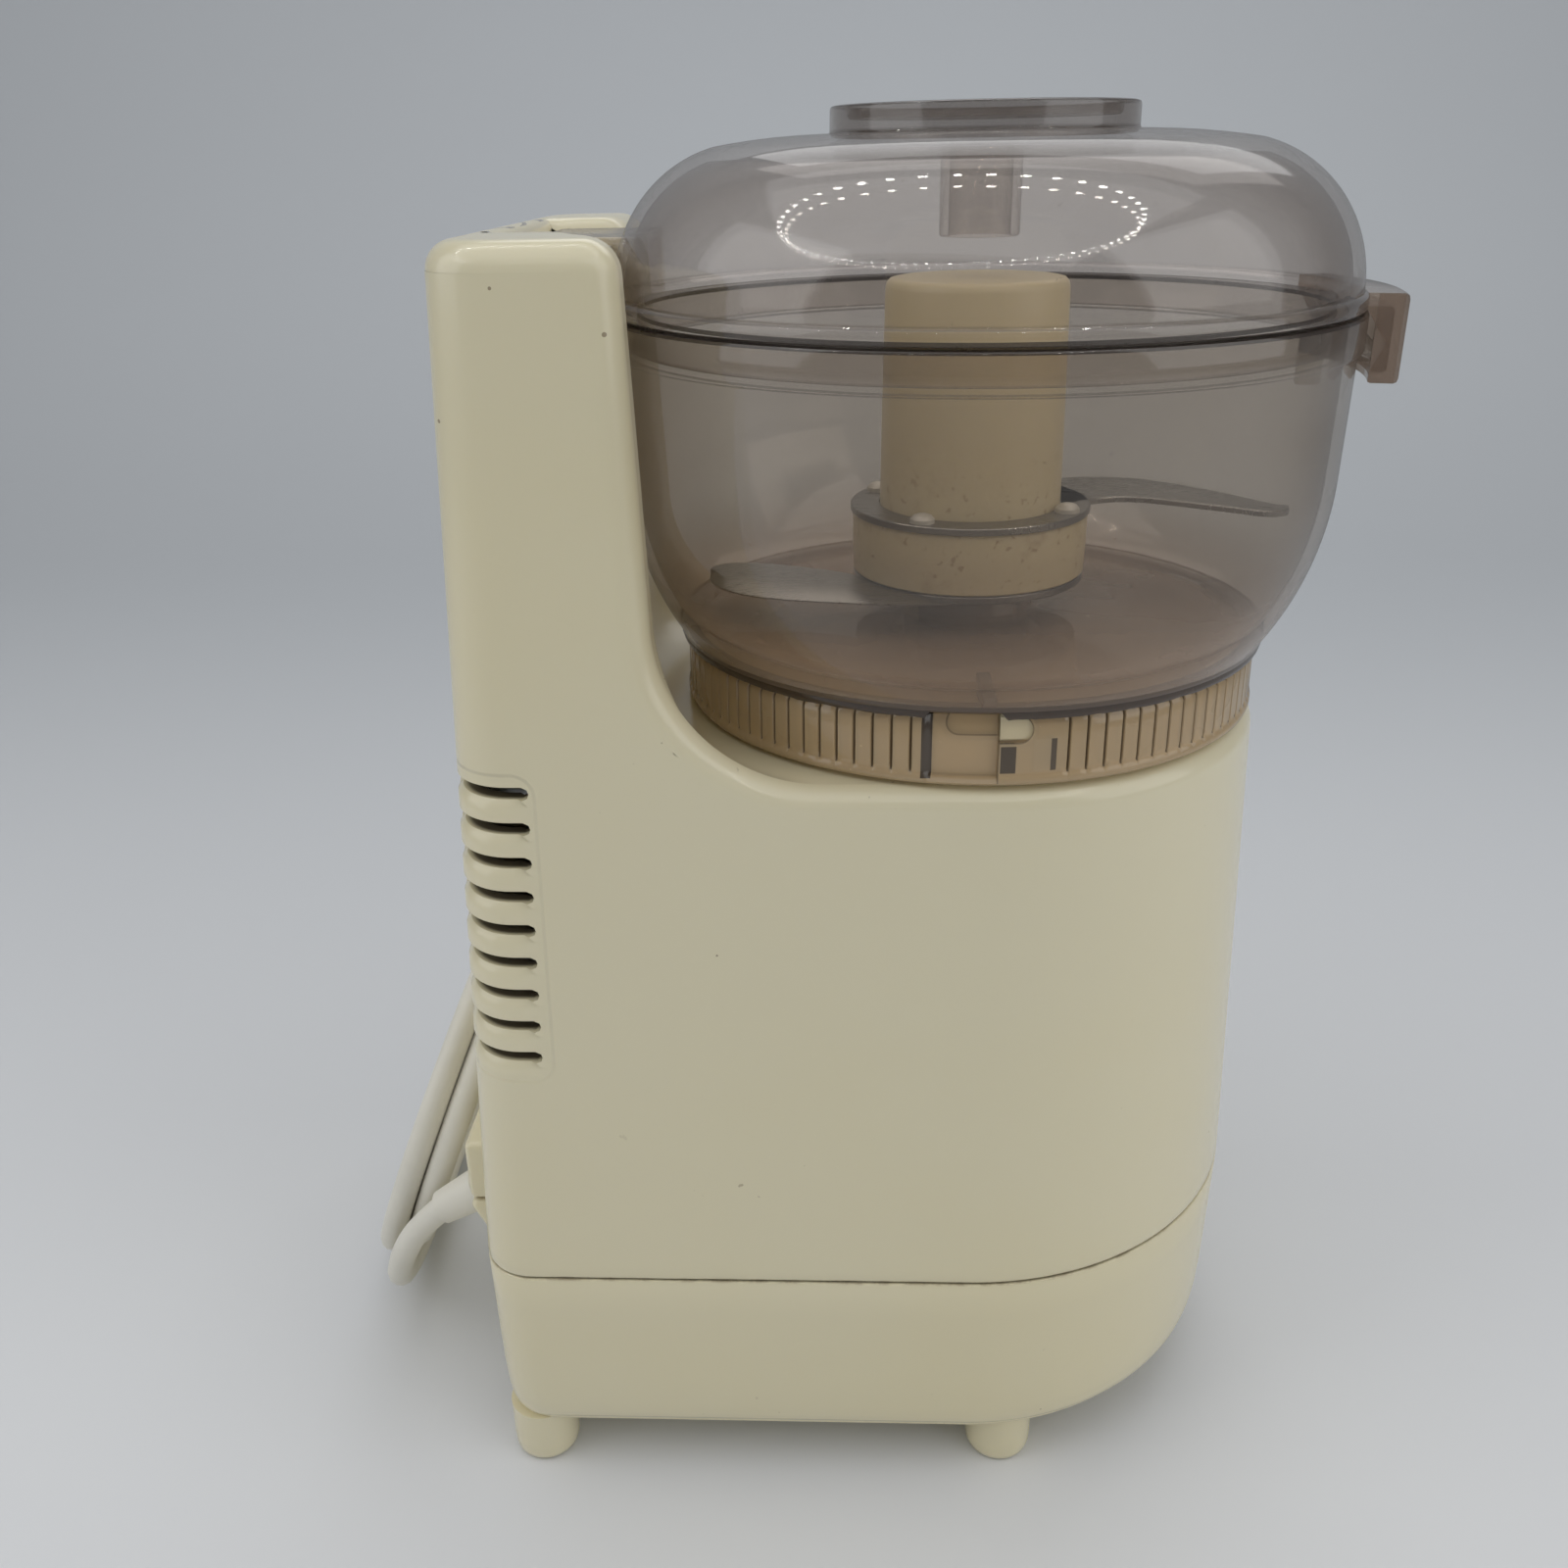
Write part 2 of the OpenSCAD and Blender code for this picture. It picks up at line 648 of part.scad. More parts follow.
module motor_end_bell() {
    color("lightgray") at_motor() translate([0, 0, chassis_top]) difference() {
        cylinder(r = bell_r, h = bell_h);
        translate([0, 0, bell_floor]) cylinder(r = bell_r - 3, h = bell_h);
        translate([0, 0, -1]) cylinder(r = motor_bush_r, h = bell_floor + 2);
        for (k = [0:3]) rotate([0, 0, 90 * k + 45]) translate([bell_r - 8, -9, 9]) cube([12, 18, 11]);
        for (s = [-1, 1]) translate([0, s * stud_at, -1]) cylinder(r = stud_r, h = bell_floor + 2);
    }
}
module motor_yoke() {
    color("lightgray") at_motor() difference() {
        union() {
            translate([-9, -stator_w / 2, yoke_z]) cube([18, stator_w, yoke_t]);
            for (s = [-1, 1]) translate([-9, s > 0 ? yoke_leg : -stator_w / 2, stator_top])
                cube([18, stator_w / 2 - yoke_leg, yoke_z - stator_top + eps]);
        }
        translate([0, 0, yoke_z - 1]) cylinder(r = motor_bush_r, h = yoke_t + 2);
        for (s = [-1, 1]) translate([0, s * stud_at, stator_top - 1])
            cylinder(r = stud_r, h = yoke_z + yoke_t - stator_top + 2);
    }
}
module motor_studs() {
    color("silver") at_motor() for (s = [-1, 1]) translate([0, s * stud_at, 0]) {
        translate([0, 0, chassis_z + eps]) cylinder(r = stud_r, h = yoke_z + yoke_t - chassis_z + 5);
        translate([0, 0, yoke_z + yoke_t]) cylinder(r = 3.8, h = 3, $fn = 6);
    }
}
module motor_bushes() {
    color("peru") at_motor() {
        translate([0, 0, chassis_top]) ring(motor_bush_r, motor_shaft_r + run, 9);
        translate([0, 0, yoke_z - 1.5]) ring(motor_bush_r, motor_shaft_r + run, yoke_t + 4.5);
    }
}
module brush_holders() {
    inner = comm_r + 3;
    color("black") at_motor() for (s = [-1, 1])
        translate([-5, s > 0 ? inner : -yoke_leg, comm_z + 1]) difference() {
            cube([10, yoke_leg - inner, 10]);
            translate([2.2, -1, 2.2]) cube([5.6, stator_w, 5.6]);
        }
}
module carbon_brushes() {
    color("dimgray") at_motor() for (s = [-1, 1])
        translate([-2.6, s > 0 ? comm_r + 0.1 : -comm_r - 8.1, comm_z + 3.4]) cube([5.2, 8, 5.2]);
}
module motor_shaft() {
    color("silver") at_motor() translate([0, 0, belt_z - 3])
        cylinder(r = motor_shaft_r, h = yoke_z + yoke_t + 5 - belt_z + 3);
}
module rotor_core() {
    color("lightslategray") at_motor() translate([0, 0, stator_z]) difference() {
        union() {
            cylinder(r = rotor_r, h = stator_h);
            translate([0, 0, -4]) cylinder(r = rotor_r - 5, h = stator_h + 10);
        }
        translate([0, 0, -5]) cylinder(r = motor_shaft_r, h = stator_h + 14);
        for (k = [0:11]) rotate([0, 0, 30 * k]) translate([rotor_r - 1.6, -0.9, -1]) cube([3, 1.8, stator_h + 2]);
    }
}
module commutator() {
    color("orangered") at_motor() translate([0, 0, comm_z]) difference() {
        cylinder(r = comm_r, h = comm_h);
        translate([0, 0, -1]) cylinder(r = motor_shaft_r, h = comm_h + 2);
        for (k = [0:11]) rotate([0, 0, 30 * k]) translate([comm_r - 0.8, -0.3, -1]) cube([2, 0.6, comm_h + 2]);
    }
}
module cooling_fan() {
    color("whitesmoke") at_motor() translate([0, 0, fan_z]) {
        ring(6.5, motor_shaft_r, fan_h);
        ring(fan_r, motor_shaft_r, 1.6);
        for (k = [0:8]) rotate([0, 0, 40 * k]) translate([6, -0.7, 0]) cube([fan_r - 7.5, 1.4, fan_h]);
    }
}

// Outline of a toothed pulley
function pulley_outline(teeth) = [for (k = [0:teeth - 1]) for (c = [[-0.30, 0], [-0.22, 1], [0.22, 1], [0.30, 0]])
    let (a = 360 * (k + c[0]) / teeth, r = pitch_r(teeth) - 1.1 + c[1] * 0.9) [r * cos(a), r * sin(a)]];
module pulley(teeth, bore_r, hub_radius) {
    difference() {
        union() {
            linear_extrude(height = belt_w + 1) polygon(pulley_outline(teeth));
            translate([0, 0, -1.2]) cylinder(r = pitch_r(teeth) + 1.2, h = 1.2);
            cylinder(r = hub_radius, h = belt_w + pulley_gap);
        }
        translate([0, 0, -2]) cylinder(r = bore_r, h = belt_w + 6);
    }
}
module motor_pulley() {
    color("gray") at_motor() translate([0, 0, belt_z]) pulley(motor_teeth, motor_shaft_r, motor_shaft_r + 1.6);
}
module spindle_pulley() {
    color("whitesmoke") at_bowl() translate([0, 0, belt_z]) difference() {
        pulley(spindle_teeth, spindle_r, spindle_r + 4);
        for (k = [0:4]) rotate([0, 0, 72 * k]) translate([spindle_r + 11, 0, -2]) cylinder(r = 4.6, h = belt_w + 6);
    }
}
// Flat loop around both pulleys, drawn out by i
module belt_loop(i, h) {
    ra = pitch_r(spindle_teeth) + 0.1 + i;
    rb = pitch_r(motor_teeth) + 0.1 + i;
    a = acos((ra - rb) / motor_back);
    cylinder(r = ra, h = h);
    translate([-motor_back, 0, 0]) cylinder(r = rb, h = h);
    linear_extrude(height = h) polygon([
        [-ra * cos(a), ra * sin(a)], [-motor_back - rb * cos(a), rb * sin(a)],
        [-motor_back - rb * cos(a), -rb * sin(a)], [-ra * cos(a), -ra * sin(a)]]);
}
module drive_belt() {
    color("black") at_bowl() translate([0, 0, belt_z + 0.4]) difference() {
        belt_loop(1.4, belt_w);
        translate([0, 0, -1]) belt_loop(0, belt_w + 2);
    }
}

// ---- Spindle ----

module spindle_shaft() {
    color("silver") at_bowl() translate([0, 0, belt_z - 3]) cylinder(r = spindle_r, h = socket_z + 6 - belt_z + 3);
}
module spindle_coupler() {
    color("ivory") at_bowl() difference() {
        union() {
            translate([0, 0, socket_z - gap - 3]) cylinder(r = 9, h = 3);
            translate([0, 0, socket_z - gap - 1]) cylinder(r = socket_r - 0.35, h = socket_h - 1.5, $fn = 6);
        }
        translate([0, 0, socket_z - 6]) cylinder(r = spindle_r, h = 12);
    }
}
module spindle_bush_upper() {
    color("peru") at_bowl() translate([0, 0, platform_z - boss_h]) ring(bush_r, spindle_r + run, upper_bush_h);
}
module spindle_bush_lower() {
    color("peru") at_bowl() translate([0, 0, chassis_z + eps]) {
        ring(bush_r, spindle_r + run, chassis_t + 6);
        translate([0, 0, chassis_t]) ring(bush_r + 2, spindle_r + run, 2);
    }
}

// ---- Interlock switch ----

module switch_slider() {
    w = slider_w;
    y1 = slider_flange;
    color("white") at_bowl() translate([slider_x, 0, slider_z]) {
        translate([0, 0, -w / 2]) linear_extrude(height = w)
            polygon([[-1.5, slider_nose], [1.5, slider_nose], [w / 2, slider_nose + 1.8],
                [w / 2, y1 + 1], [-w / 2, y1 + 1], [-w / 2, slider_nose + 1.8]]);
        translate([-w / 2 - 2, y1, -w / 2 - 1]) cube([w + 4, 2, w + 2]);
        translate([0, y1 + 1, 0]) rotate([-90, 0, 0]) cylinder(r = 1.8, h = 9);
        // arm and leg that carry the moving contact
        translate([-2, y1 + 1, -6.5]) cube([4, 6, 3]);
        translate([-2, y1 + 5, switch_z - slider_z + 5.4]) cube([4, 2, 7]);
    }
}
module contact_bridge() {
    color("gold") at_bowl() translate([slider_x - 3, slider_flange + 3.5, switch_z + 3.4])
        cube([6, 5, 2]);
}
module slider_spring() {
    r = 2.7;
    from = slider_flange + 2.4;
    turns = 6;
    color("silver") at_bowl() translate([slider_x, 0, slider_z])
        swept_tube([for (k = [0:turns * 10]) let (a = 36 * k)
            [r * cos(a), from + 9.6 * k / (turns * 10), r * sin(a)]], 0.35, 6);
}
module switch_body() {
    from = channel_half + channel_wall + 0.6;
    to = half_w - lean_in(slider_z) - wall - 1.2;
    color("dimgray") at_bowl() translate([slider_x, 0, switch_z]) difference() {
        translate([-6.5, from, 0]) cube([13, to - from, switch_h]);
        translate([-4, from + 2, 2]) cube([8, to - from - 4, switch_h]);
    }
}
module switch_contacts() {
    from = channel_half + channel_wall + 4;
    length = half_w - lean_in(slider_z) - wall - 4.8 - from;
    color("gold") at_bowl() translate([slider_x, 0, switch_z + 2]) {
        translate([-3.6, from, 0]) cube([2.6, length, 1]);
        translate([1, from, 0]) cube([2.6, length, 1]);
    }
}
module terminal_block() {
    color("beige") at_bowl() translate([-102, -22, foot_h + wall]) difference() {
        cube([10, 24, 11]);
        for (k = [0:2]) translate([5, 4 + 8 * k, 3]) cylinder(r = 2, h = 10);
    }
}
module internal_leads() {
    low = foot_h + wall + 5;
    color("white") at_bowl() {
        swept_tube(smooth_path([[relief_x + 9.3, block_y, 62.4], [-102.8, -32, 62.2], [-100.6, -28, 56],
            [-100.4, -22, 46], [-99, -18.4, 36], [-97, -18, 29], [-97, -18, low]], 3), 1.6, 8);
        swept_tube(smooth_path([[-97, -10, low], [-97.4, -10, 34], [-101.4, -10, 46],
            [-101.4, -9, 58], [-100.6, -6, 90], [-99, 5, 140], [-97, 18, 190], [-94.4, 32, 228],
            [-92.2, 38, 241], [-89.4, 38, 248]], 3), 1.1, 8);
        swept_tube(smooth_path([[-97, -2, low], [-97.4, -2, 34], [-101.4, -3, 46], [-101.4, -5, 58],
            [-99, -12, 90], [-91, -18, 124], [-80, -18, 130], [-motor_back - 5, -17, 130]], 3), 1.1, 8);
    }
}

// ---- Bowl ----

function bowl_wall_at(z, i) = round_c + sqrt(pow(bowl_round_r - i, 2) - pow(round_z - z, 2));

module bowl_shell() {
    steps = 14;
    foot = skirt_top;
    inner_foot = floor_z + 3;
    rotate_extrude() polygon(concat(
        [[tube_bore_r, skirt_top - 1]],
        [[skirt_top_r, skirt_top - 1], [skirt_top_r + 0.4, skirt_top], [floor_outer_r, skirt_top]],
        [for (k = [1:steps]) let (z = foot + (round_z - foot) * k / steps) [bowl_wall_at(z, 0), z]],
        [[bowl_r, rim_z - band_h], [bowl_rim_r, rim_z - band_h], [bowl_rim_r, rim_z],
            [bowl_r - bowl_wall, rim_z]],
        [for (k = [steps:-1:0]) let (z = inner_foot + (round_z - inner_foot) * k / steps)
            [bowl_wall_at(z, bowl_wall), z]],
        [[bowl_wall_at(inner_foot, bowl_wall) - 4, floor_z], [bowl_tube_r, floor_z],
            [bowl_tube_r, floor_z + bowl_tube_h], [tube_bore_r, floor_z + bowl_tube_h]]));
}
module skirt() {
    rotate_extrude() polygon([[skirt_r - skirt_wall, seat_z], [skirt_r, seat_z],
        [skirt_top_r, skirt_top - 0.5], [skirt_r - skirt_wall, skirt_top - 0.5]]);
}
module skirt_cut(from, to, ri, ro, z0, z1) {
    sector([[ri, z0], [ro, z0], [ro, z1], [ri, z1]], asin(from / skirt_r), asin(to / skirt_r));
}
module bowl() {
    color("tan", 0.6) at_bowl() difference() {
        union() {
            bowl_shell();
            skirt();
            // tongue that the front hook of the lid grips
            sector([[bowl_r - 1, tongue_z], [tongue_r, tongue_z], [tongue_r, tongue_z + tongue_t],
                [bowl_rim_r - 0.5, tongue_z + tongue_t + 3], [bowl_r - 1, tongue_z + tongue_t + 3]],
                tongue_from, tongue_to);
        }
        for (k = [0:2]) rotate([0, 0, 120 * k - 90]) {
            skirt_cut(window_from, window_to, skirt_r - 4, skirt_r + 2, lug_z - 0.4, lug_z + lug_h + 0.4);
            skirt_cut(lead_from, lead_to, skirt_r - 4, skirt_r - 0.6, seat_z - 1, lug_z + 1);
        }
    }
}

// ---- Lid ----

module dome_outer() {
    rotate_extrude() polygon(concat(
        [[0, flange_z], [flange_r, flange_z], [flange_r, flange_z + flange_h]],
        arc([dome_c_r, dome_c_z], dome_r, 0, shoulder, 16),
        [for (k = [1:4]) let (r = crown_r + (ring_r + 1.6 - crown_r) * k / 4) [r, crown(r)]],
        [[ring_r + 0.4, crown(ring_r) + 0.3], [ring_r, lid_top - 0.8], [ring_r - 0.8, lid_top],
            [ring_r - 3.4, lid_top], [ring_r - 4.2, dish_z], [0, dish_z]]));
}
module dome_inner() {
    rotate_extrude() polygon(concat(
        [[0, flange_z - 1], [spigot_r - lid_wall, flange_z - 1], [spigot_r - lid_wall, flange_z + 0.8]],
        arc([dome_c_r, dome_c_z], dome_r - lid_wall, 0, shoulder, 16),
        [for (k = [1:4]) let (r = crown_r + (ring_r - crown_r) * k / 4) [r - 0.4, crown(r) - lid_wall]],
        [[0, dish_z - lid_wall]]));
}
module lid_tab() {
    difference() {
        translate([-tab_reach, -tab_half, flange_z + 1]) cube([tab_reach - 60, 2 * tab_half, tab_top - flange_z - 1]);
        translate([-tab_reach + lid_wall, -tab_half + lid_wall, flange_z])
            cube([tab_reach - 60, 2 * (tab_half - lid_wall), tab_top - flange_z - lid_wall]);
        dome_outer();
    }
}
module front_hook() {
    top = flange_z + flange_h;
    low = top - hook_h;
    sector([[bowl_rim_r - 1.6, top], [hook_r, top], [hook_r, low], [hook_in, low],
        [hook_in, low + hook_wall], [hook_r - hook_wall, low + hook_wall],
        [hook_r - hook_wall, flange_z + 0.1], [bowl_rim_r - 1.6, flange_z + 0.1]], -hook_half, hook_half);
    sector([[hook_in, top - 1], [hook_in, low], [hook_r - 1, low], [hook_r - 1, top - 1]],
        -hook_half, -hook_half + 1.6);
}
module lid() {
    color("tan", 0.5) at_bowl() union() {
        difference() {
            dome_outer();
            dome_inner();
        }
        translate([0, 0, flange_z - spigot_h]) ring(spigot_r, spigot_r - lid_wall, spigot_h + 1);
        translate([0, 0, peg_z]) ring(peg_r, peg_r - 1.8, dish_z - lid_wall - peg_z + 0.5);
        lid_tab();
        front_hook();
    }
}

// ---- Blade ----

module blade_hub() {
    color("khaki") at_bowl() difference() {
        rotate_extrude() polygon([[0, disc_z], [disc_r, disc_z], [disc_r + 0.2, plate_z], [hub_r, plate_z],
            [hub_top_r, hub_top - 1.6], [hub_top_r - 0.5, hub_top - 0.5], [hub_top_r - 1.6, hub_top],
            [0, hub_top]]);
        translate([0, 0, disc_z - 1]) cylinder(r = hub_bore_r, h = socket_z - disc_z + 1);
        translate([0, 0, socket_z - 1]) cylinder(r = socket_r, h = socket_h + 1, $fn = 6);
        for (k = [0:3]) rotate([0, 0, 60 + 90 * k]) translate([rivet_at, 0, disc_z - 1])
            cylinder(r = 1.3, h = disc_h + 2);
    }
}
module rivet_holes(z) {
    for (k = [0:3]) rotate([0, 0, 60 + 90 * k]) translate([rivet_at, 0, z - 1]) cylinder(r = 1.3, h = blade_t + 2);
}
// Curved blade with its cutting edge on the outer, leading side
module upper_blade() {
    tip = upper_reach;
    color("lightsteelblue") at_bowl() translate([0, 0, plate_z]) difference() {
        union() {
            cylinder(r = disc_r + 0.8, h = blade_t);
            linear_extrude(height = blade_t) polygon([[12, 21.5], [25, 27.4], [34, 27], [41, 24.2], [48, 18.2],
                [56.5, 8], [tip - 3.6, -2], [tip - 0.5, -7], [tip - 2.2, -11], [tip - 6.5, -12.6],
                [53, -7.4], [44, -1.8], [34.5, 2.6], [25.4, 0.6]]);
        }
        translate([0, 0, -1]) cylinder(r = hub_r + 0.15, h = blade_t + 2);
        translate([0, 0, 0]) rivet_holes(0);
    }
}
module lower_blade() {
    tip = lower_reach;
    color("lightsteelblue") at_bowl() translate([0, 0, disc_z - blade_t]) difference() {
        union() {
            cylinder(r = disc_r, h = blade_t);
            linear_extrude(height = blade_t) polygon([[-2, -24.2], [-8, -25.4], [-24, -24.4], [-40, -21.2],
                [-50, -16.4], [-tip + 1.4, -9.5], [-tip + 0.6, -3], [-tip + 3, 4.6], [-48, 4.2], [-38, 1],
                [-30, -3], [-22, -9]]);
        }
        translate([0, 0, -1]) cylinder(r = hub_bore_r + 2.4, h = blade_t + 2);
        rivet_holes(0);
    }
}
module blade_rivets() {
    color("silver") at_bowl() for (k = [0:3]) rotate([0, 0, 60 + 90 * k]) translate([rivet_at, 0, 0]) {
        translate([0, 0, disc_z - blade_t]) cylinder(r = 1.25, h = disc_h + 2 * blade_t);
        translate([0, 0, plate_z + blade_t + eps]) cylinder(r1 = rivet_r, r2 = rivet_r - 0.9, h = 1.1);
        translate([0, 0, disc_z - blade_t - 0.9 - eps]) cylinder(r1 = rivet_r - 0.8, r2 = rivet_r, h = 0.9);
    }
}

// ---- Cord ----

module strain_relief() {
    color("white") at_bowl() relief_axis() difference() {
        union() {
            translate([0, 0, -relief_in]) cylinder(r = relief_neck_r + 1.1, h = 3);
            translate([0, 0, -relief_in]) cylinder(r = relief_neck_r, h = relief_in + 1);
            cylinder(r1 = relief_neck_r + 0.2, r2 = cord_d / 2 + 1, h = relief_out);
        }
        translate([0, 0, -relief_in - 1]) cylinder(r = relief_bore_r, h = relief_in + relief_out + 2);
    }
}
module cord() {
    inner = [relief_x + relief_in * cos(relief_tilt), block_y, relief_z + relief_in * sin(relief_tilt)];
    color("white") at_bowl() swept_tube(concat([inner], smooth_path(cord_route, 3)), cord_d / 2);
}
module coil_place() {
    translate([coil_x, coil_y, coil_z]) rotate([0, coil_lean, 0]) rotate([0, 90, 0]) children();
}
module cord_coil() {
    color("white") at_bowl() coil_place() rotate_extrude() translate([coil_r, 0]) circle(r = coil_bundle_r);
}
module cord_tail() {
    color("white") at_bowl() swept_tube(smooth_path(tail_route, 3), cord_d / 2);
}
module cord_tie() {
    color("white") at_bowl() coil_place() translate([0, coil_r, 0]) rotate([0, 90, 0]) translate([0, 0, -3])
        ring(coil_bundle_r + 1.2, coil_bundle_r + 0.05, 6);
}
module plug_body() {
    color("white") at_bowl() translate([plug_x, plug_y, plug_z]) {
        rotate([0, 90, 0]) cylinder(r1 = cord_d / 2 + 0.8, r2 = 5.2, h = plug_neck);
        difference() {
            translate([plug_neck - eps, -plug_w / 2, -plug_t / 2]) cube([plug_l, plug_w, plug_t]);
            for (a = [-1, 1]) for (b = [-1, 1]) translate([plug_neck - 1, a * plug_w / 2, b * plug_t / 2])
                rotate([45, 0, 0]) translate([0, -2, -2]) cube([plug_l + 2, 4, 4]);
        }
    }
}
module plug_prongs() {
    color("gold") at_bowl() translate([plug_x + plug_neck + plug_l - eps, plug_y, plug_z])
        for (s = [-1, 1]) translate([0, s * 6.35 - 0.75, -3.2]) difference() {
            cube([17, 1.5, 6.4]);
            translate([14, -1, 3.2]) rotate([-90, 0, 0]) cylinder(r = 1.2, h = 4);
        }
}

upper_housing();
base_tray();
feet();
base_screws();
chassis_plate();
chassis_screws();
stator_core();
field_coils();
motor_end_bell();
motor_yoke();
motor_studs();
brush_holders();
carbon_brushes();
motor_bushes();
motor_shaft();
rotor_core();
commutator();
cooling_fan();
motor_pulley();
drive_belt();
spindle_pulley();
spindle_shaft();
spindle_coupler();
spindle_bush_upper();
spindle_bush_lower();
switch_slider();
contact_bridge();
slider_spring();
switch_body();
switch_contacts();
terminal_block();
internal_leads();
bowl();
lid();
blade_hub();
upper_blade();
lower_blade();
blade_rivets();
strain_relief();
cord();
cord_coil();
cord_tail();
cord_tie();
plug_body();
plug_prongs();
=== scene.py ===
"""Compact food processor, dressed around its construction frame."""

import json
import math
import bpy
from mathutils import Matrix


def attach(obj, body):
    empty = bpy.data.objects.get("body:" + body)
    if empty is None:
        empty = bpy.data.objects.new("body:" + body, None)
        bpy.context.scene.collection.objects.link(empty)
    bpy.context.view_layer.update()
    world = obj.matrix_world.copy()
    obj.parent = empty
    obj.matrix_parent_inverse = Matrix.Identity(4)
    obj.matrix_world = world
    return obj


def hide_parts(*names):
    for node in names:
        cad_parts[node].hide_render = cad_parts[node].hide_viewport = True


bl_info = {
    "name": "Compact food processor",
    "version": (1, 0, 0),
    "blender": (4, 5, 0),
    "location": "View3D > Sidebar > Food processor",
    "description": "Housing, bowl, lid, blade and cord of a compact food processor",
    "category": "Add Mesh",
}

import bmesh
import bpy
import numpy as np
from mathutils import Matrix, Vector

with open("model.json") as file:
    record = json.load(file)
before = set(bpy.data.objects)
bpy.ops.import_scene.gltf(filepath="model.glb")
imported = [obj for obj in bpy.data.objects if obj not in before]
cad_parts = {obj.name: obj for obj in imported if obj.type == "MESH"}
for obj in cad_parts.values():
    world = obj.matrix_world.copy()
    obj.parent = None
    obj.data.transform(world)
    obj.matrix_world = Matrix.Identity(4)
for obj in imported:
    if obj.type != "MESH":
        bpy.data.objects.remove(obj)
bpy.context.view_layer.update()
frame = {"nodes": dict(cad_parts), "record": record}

MM = 0.001
AXIS_X = 16.85  # the bowl axis stands this far in front of the origin, in mm
LEAN = math.tan(math.radians(2.35))
HALF_WIDTH = 67.2
REAR = 107.4
CORNER = 12.0
PARTING = 60.0
PLATFORM = 174.5
COLUMN_TOP = 271.7
SWEEP_R = 31.0
SWEEP_X, SWEEP_Z = -31.5, 205.5
FRONT_LEAN = math.tan(math.radians(2.0))
TOP_HALF = 46.5  # from the middle to where the column's corners start, at its top
TOP_REAR = 86.7  # from the bowl axis to where they start
TOP_EDGE = 53.5  # from the middle to where the top's rounding starts
CHANNEL = 27.3
CHANNEL_FLOOR = 253.5
CHANNEL_REAR = -91.0
HOLLOW_R, HOLLOW_FILLET = 80.0, 14.0
FAR_BACK = 9.0  # how much further back the column's front stands on its far side
SLOT_COUNT, SLOT_PITCH, SLOT_FIRST, SLOT_HALF = 9, 7.25, 116.2, 1.4
SLOT_DEPTH = 3.2
SLOT_FRONT, SLOT_LAST = 83.4, 44.1  # where the slots start on the side and end on the rear
SKIRT_R, RIBS, CATCHES = 61.7, 104, 3
CATCH_PITCH = 129.2  # from one catch to the next, along the skirt


# ---------------------------------------------------------------- materials


def math_node(operation, swapped=False):
    """A method that joins a term and another value in one Math node; swapped puts the other value first."""

    def join(self, other=0.0):
        pair = (other, self) if swapped else (self, other)
        return self.finish.node("ShaderNodeMath", {"operation": operation}, dict(enumerate(pair)))

    return join


class Term:
    """A socket that takes part in arithmetic: every operator adds a Math node."""

    def __init__(self, finish, socket):
        self.finish, self.socket = finish, socket

    __add__ = __radd__ = math_node("ADD")
    __mul__ = __rmul__ = math_node("MULTIPLY")
    __sub__, __rsub__ = math_node("SUBTRACT"), math_node("SUBTRACT", swapped=True)
    __truediv__, __rtruediv__ = math_node("DIVIDE"), math_node("DIVIDE", swapped=True)
    __pow__ = math_node("POWER")
    __abs__ = math_node("ABSOLUTE")
    __lt__, __gt__ = math_node("LESS_THAN"), math_node("GREATER_THAN")
    low, high = math_node("MINIMUM"), math_node("MAXIMUM")
    fract = math_node("FRACT")

    def step(self, a, b):
        """0 below a, 1 above b, smooth between them."""
        return self.finish.node(
            "ShaderNodeMapRange",
            {"interpolation_type": "SMOOTHSTEP"},
            {"Value": self, "From Min": a, "From Max": b},
        )


